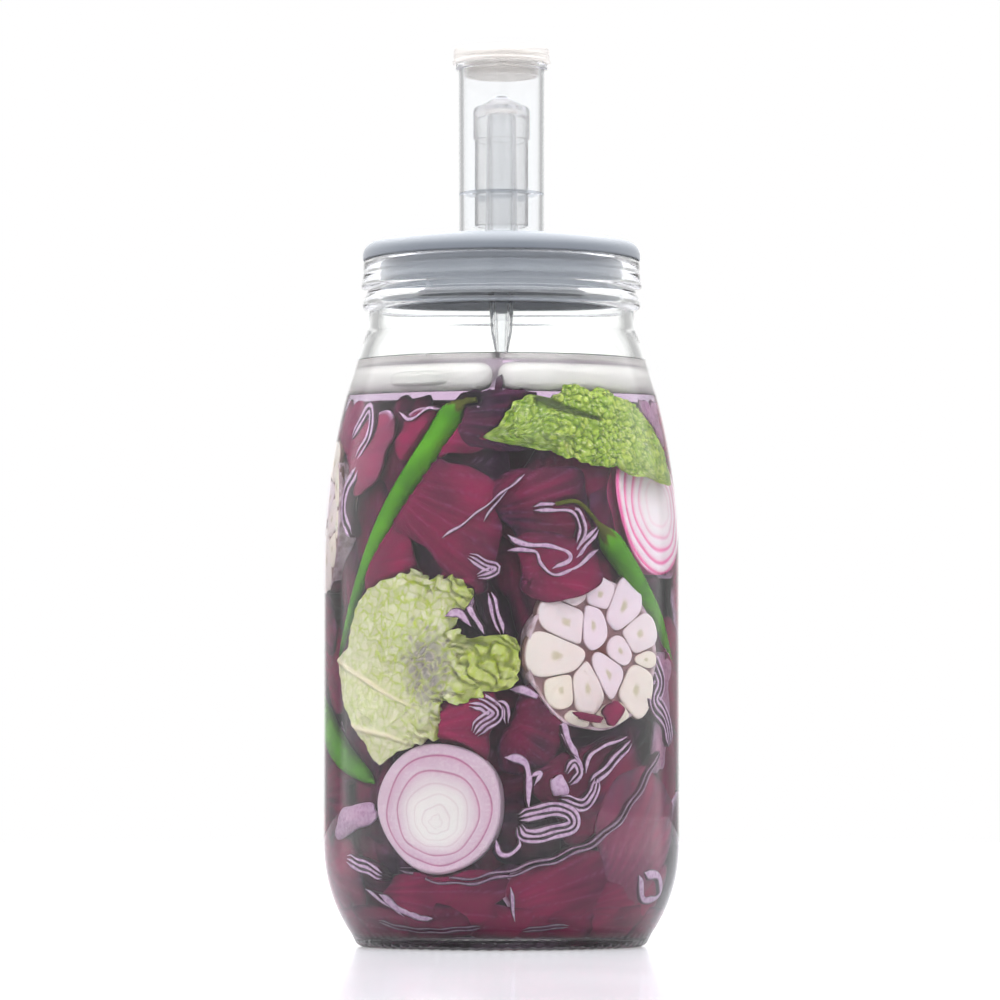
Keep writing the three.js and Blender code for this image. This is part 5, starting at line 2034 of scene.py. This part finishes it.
@dataclass
class Studio:
    """Camera, surroundings and floor.

    Attributes:
        distance: from the camera to the jar's axis.
        eye: the camera's height.
        aim: height on the axis at the picture's middle.
        drift: how far the picture's middle lies beside the axis.
        lens: the camera's focal length.
        sensor: width of its sensor.
        gap: azimuths of the dimmer gap behind the camera.
        quarter: azimuths, on both sides, of the dimmer quarters behind the jar.
        white: most that shows of the surroundings behind the jar through clear pieces.
        front_white: most that shows of the other surroundings.
    """

    distance: float = 2130.0
    eye: float = 69.2
    aim: float = 175.7
    drift: float = -0.6
    lens: float = 194.4
    sensor: float = 36.0
    floor_size: float = 6000.0
    back_light: float = 1.15
    left_light: float = 2.0
    right_light: float = 1.9
    gap_softness: float = 4.0
    gap_light: float = 1.3
    quarter_light: float = 0.55
    overhead_light: float = 8.6
    gap: tuple[float, float] = (-7.0, 17.0)
    quarter: tuple[float, float] = (126.0, 162.0)
    quarter_softness: float = 6.0
    overhead_from: float = 35.0
    overhead_softness: float = 0.03
    white: float = 1.08
    front_white: float = 0.86
    bounces: int = 48
    mirror_bounces: int = 24
    finish: FloorFinish = FloorFinish()

    def build(self) -> None:
        """Sets up the camera, the surroundings and the floor."""
        self.camera()
        self.surroundings()
        self.floor()
        self.picture()

    def camera(self) -> None:
        """Adds the camera at the photograph's viewing angle."""
        data = bpy.data.cameras.new("camera")
        data.lens = self.lens
        data.sensor_width = self.sensor
        data.clip_end = 100.0
        made = bpy.data.objects.new("camera", data)
        made.location = Vector((self.drift, -self.distance, self.eye)) * MM
        look = Vector((0.0, self.distance, self.aim - self.eye))
        made.rotation_euler = look.to_track_quat("-Z", "Y").to_euler()
        bpy.context.scene.collection.objects.link(made)
        bpy.context.scene.camera = made

    def surroundings(self) -> None:
        """Lights the scene from white surroundings with a dimmer gap behind the camera."""
        world = bpy.data.worlds.new("studio")
        world.use_nodes = True
        bpy.context.scene.world = world
        nodes = Nodes(world.node_tree)
        background = world.node_tree.nodes["Background"]
        direction = nodes.node("ShaderNodeTexCoord").outputs["Generated"]
        parts = nodes.node("ShaderNodeSeparateXYZ", {}, {0: direction})
        across, along = Value(nodes, parts.outputs[0]), Value(nodes, parts.outputs[1])
        turn = across.arctan2(0.0 - along) * math.degrees(1)
        left = 1 - turn.edge(self.gap[0], self.gap_softness)
        right = turn.edge(self.gap[1], self.gap_softness)
        front = self.gap_light + (self.left_light - self.gap_light) * left
        front = front + (self.right_light - self.gap_light) * right
        quarter = turn.size().edge(self.quarter[0], self.quarter_softness)
        back = turn.size().edge(self.quarter[1], self.quarter_softness)
        level = front * (1 - quarter) + self.quarter_light * quarter * (1 - back) + self.back_light * back
        rise = math.sin(math.radians(self.overhead_from))
        above = Value(nodes, parts.outputs[2]).edge(rise, self.overhead_softness)
        level = level * (1 - above) + self.overhead_light * above
        path = nodes.node("ShaderNodeLightPath").outputs
        seen = Value(nodes, path["Is Camera Ray"])
        lit = Value(nodes, path["Diffuse Depth"]).step(0.0, 1.0)
        through = Value(nodes, path["Is Transmission Ray"]) * (1 - lit)
        most = self.front_white + (self.white - self.front_white) * quarter
        strength = level + seen * (1.0 - level) + through * (level.at_most(most) - level)
        nodes.feed(background.inputs["Strength"], strength)
        nodes.feed(background.inputs["Color"], WHITE)

    def floor(self) -> None:
        """Adds the pale floor."""
        half = self.floor_size * MM / 2
        mesh = bpy.data.meshes.new("floor")
        corners = [(-half, -half, 0), (half, -half, 0), (half, half, 0), (-half, half, 0)]
        mesh.from_pydata(corners, [], [(0, 1, 2, 3)])
        mesh.materials.append(self.finish.material())
        made = bpy.data.objects.new("floor", mesh)
        bpy.context.scene.collection.objects.link(made)

    def picture(self) -> None:
        """Sets how light becomes a picture, with bounces enough for liquid in glass."""
        scene = bpy.context.scene
        scene.view_settings.view_transform = "Standard"
        scene.cycles.max_bounces = self.bounces
        scene.cycles.transmission_bounces = self.bounces
        scene.cycles.glossy_bounces = self.mirror_bounces
        scene.cycles.transparent_max_bounces = 16
        scene.cycles.denoising_input_passes = "RGB_ALBEDO"


def main() -> None:
    """Builds the dressed jar and its studio."""
    logging.basicConfig(level=logging.INFO, format="%(name)s %(message)s")
    jar = GlassJar()
    pale_onion = OnionFinish(
        "pale_onion", srgb(224, 196, 215), srgb(248, 246, 242), srgb(186, 92, 144), srgb(206, 180, 200), 0.3)
    pink_onion = OnionFinish(
        "pink_onion", srgb(254, 246, 250), srgb(255, 253, 252), srgb(246, 100, 176), srgb(226, 100, 164), 0.4)
    onions = [
        Onion(
            "onion_half_front", "onion_front", Seat(-22.6, 55, spin=20), pale_onion,
            ((0.84, 0.9), (0.66, 0.8), (0.5, 0.2), (0.36, 0.14), (0.22, 0.16), (0.1, 0.12)), radius=24.8),
        Onion(
            "onion_half_side", "onion_side", Seat(71, 171, inset=4.5, lean=10), pink_onion,
            ((0.97, 1.0), (0.82, 0.9), (0.66, 0.8), (0.5, 0.4), (0.34, 0.15)),
            heart=(7.0, 2.0), line_width=0.026),
    ]
    cut_garlic = GarlicFinish()
    garlics = [
        Garlic("garlic_half_front", "garlic_front", Seat(35.6, 113.5), cut_garlic),
        Garlic("garlic_half_side", "garlic_side", Seat(-97, 168, spin=100), cut_garlic),
    ]
    chillies = [
        Chilli(
            "chilli_fruit_left", "chilli_left",
            ((-10, 211, 6), (-17, 209, 7), (-26, 196, 7), (-44, 168, 7), (-60, 140, 7), (-75, 112, 7))),
        Chilli(
            "chilli_fruit_right", "chilli_right",
            ((19, 171, 3), (27, 172, 4), (34, 166, 5), (43, 156, 7), (57, 140, 7), (70, 127, 7),
             (86, 106, 7)),
            stem_radius=0.8, stem_share=0.37, calyx_share=0.42),
        Chilli(
            "chilli_fruit_low", "chilli_low",
            ((-128, 128, 4), (-122, 122, 6), (-112, 110, 7), (-96, 92, 7), (-74, 76, 8), (-53, 64, 10)),
            radius=6.6, taper=5.0),
    ]
    bright_leaf = CrinkledLeafFinish(
        "bright_leaf", srgb(212, 230, 100), srgb(150, 190, 42), srgb(108, 148, 26), srgb(236, 242, 190),
        srgb(88, 110, 50), 0.9)
    faded_leaf = CrinkledLeafFinish(
        "faded_leaf", srgb(240, 240, 212), srgb(198, 202, 156), srgb(186, 204, 44), srgb(244, 234, 202),
        srgb(104, 116, 44), 0.9)
    leaves = [
        CrinkledLeaf(
            "crinkled_leaf_right", "green_leaf_right", 38, 199,
            ((1, 42), (16, 32), (45, 20), (97, 16), (128, 23), (140, 22), (150, 26), (156, 34), (164, 40),
             (176, 44), (183, 52), (189, 37), (198, 25), (218, 16), (261, 13), (302, 15), (329, 31),
             (341, 57), (346, 52)),
            bright_leaf, 2, cell=2.8, blister=1.6, frill=0.5, crease=[(15, 211), (26, 207.4), (40, 204)],
            shaded_until=-8),
        CrinkledLeaf(
            "crinkled_leaf_left", "green_leaf_left", -33, 110,
            ((5, 46), (14, 44), (20, 29), (27, 25), (36, 21), (42, 34), (46, 39), (52, 38), (63, 37),
             (75, 33), (88, 36), (100, 34), (134, 36), (169, 34), (178, 44), (194, 41), (214, 38),
             (232, 39), (249, 42), (260, 34), (281, 31), (294, 30), (306, 22), (317, 23), (340, 33),
             (347, 44)),
            faded_leaf, 7, cell=3.4, blister=0.65, net_proud=True, net_width=0.42, frill=1.5, ragged_from=-8,
            ribs=([(-74, 114), (-54, 105), (-41, 98), (-28, 92)],
                  [(-76, 108), (-67, 95), (-58, 83), (-50, 72)], [(-60, 86), (-42, 82.6), (-32, 79)]),
            clear=(-26, 108, 11), green_from=14, white_corner=True, painted_glints=0.35),
    ]
    room = Packing(jar, onions, garlics, chillies, leaves)
    jar.build()
    PlugLid().build()
    Airlock().build()
    Weights().build()
    for half in (*onions, *garlics):
        half.build(jar)
    chilli_skin = ChilliFinish().material()
    for chilli in chillies:
        chilli.build(jar, chilli_skin)
    for leaf in leaves:
        leaf.build(room)
    RedCabbage(room).build()
    Studio().build()


if __name__ == "__main__":
    main()
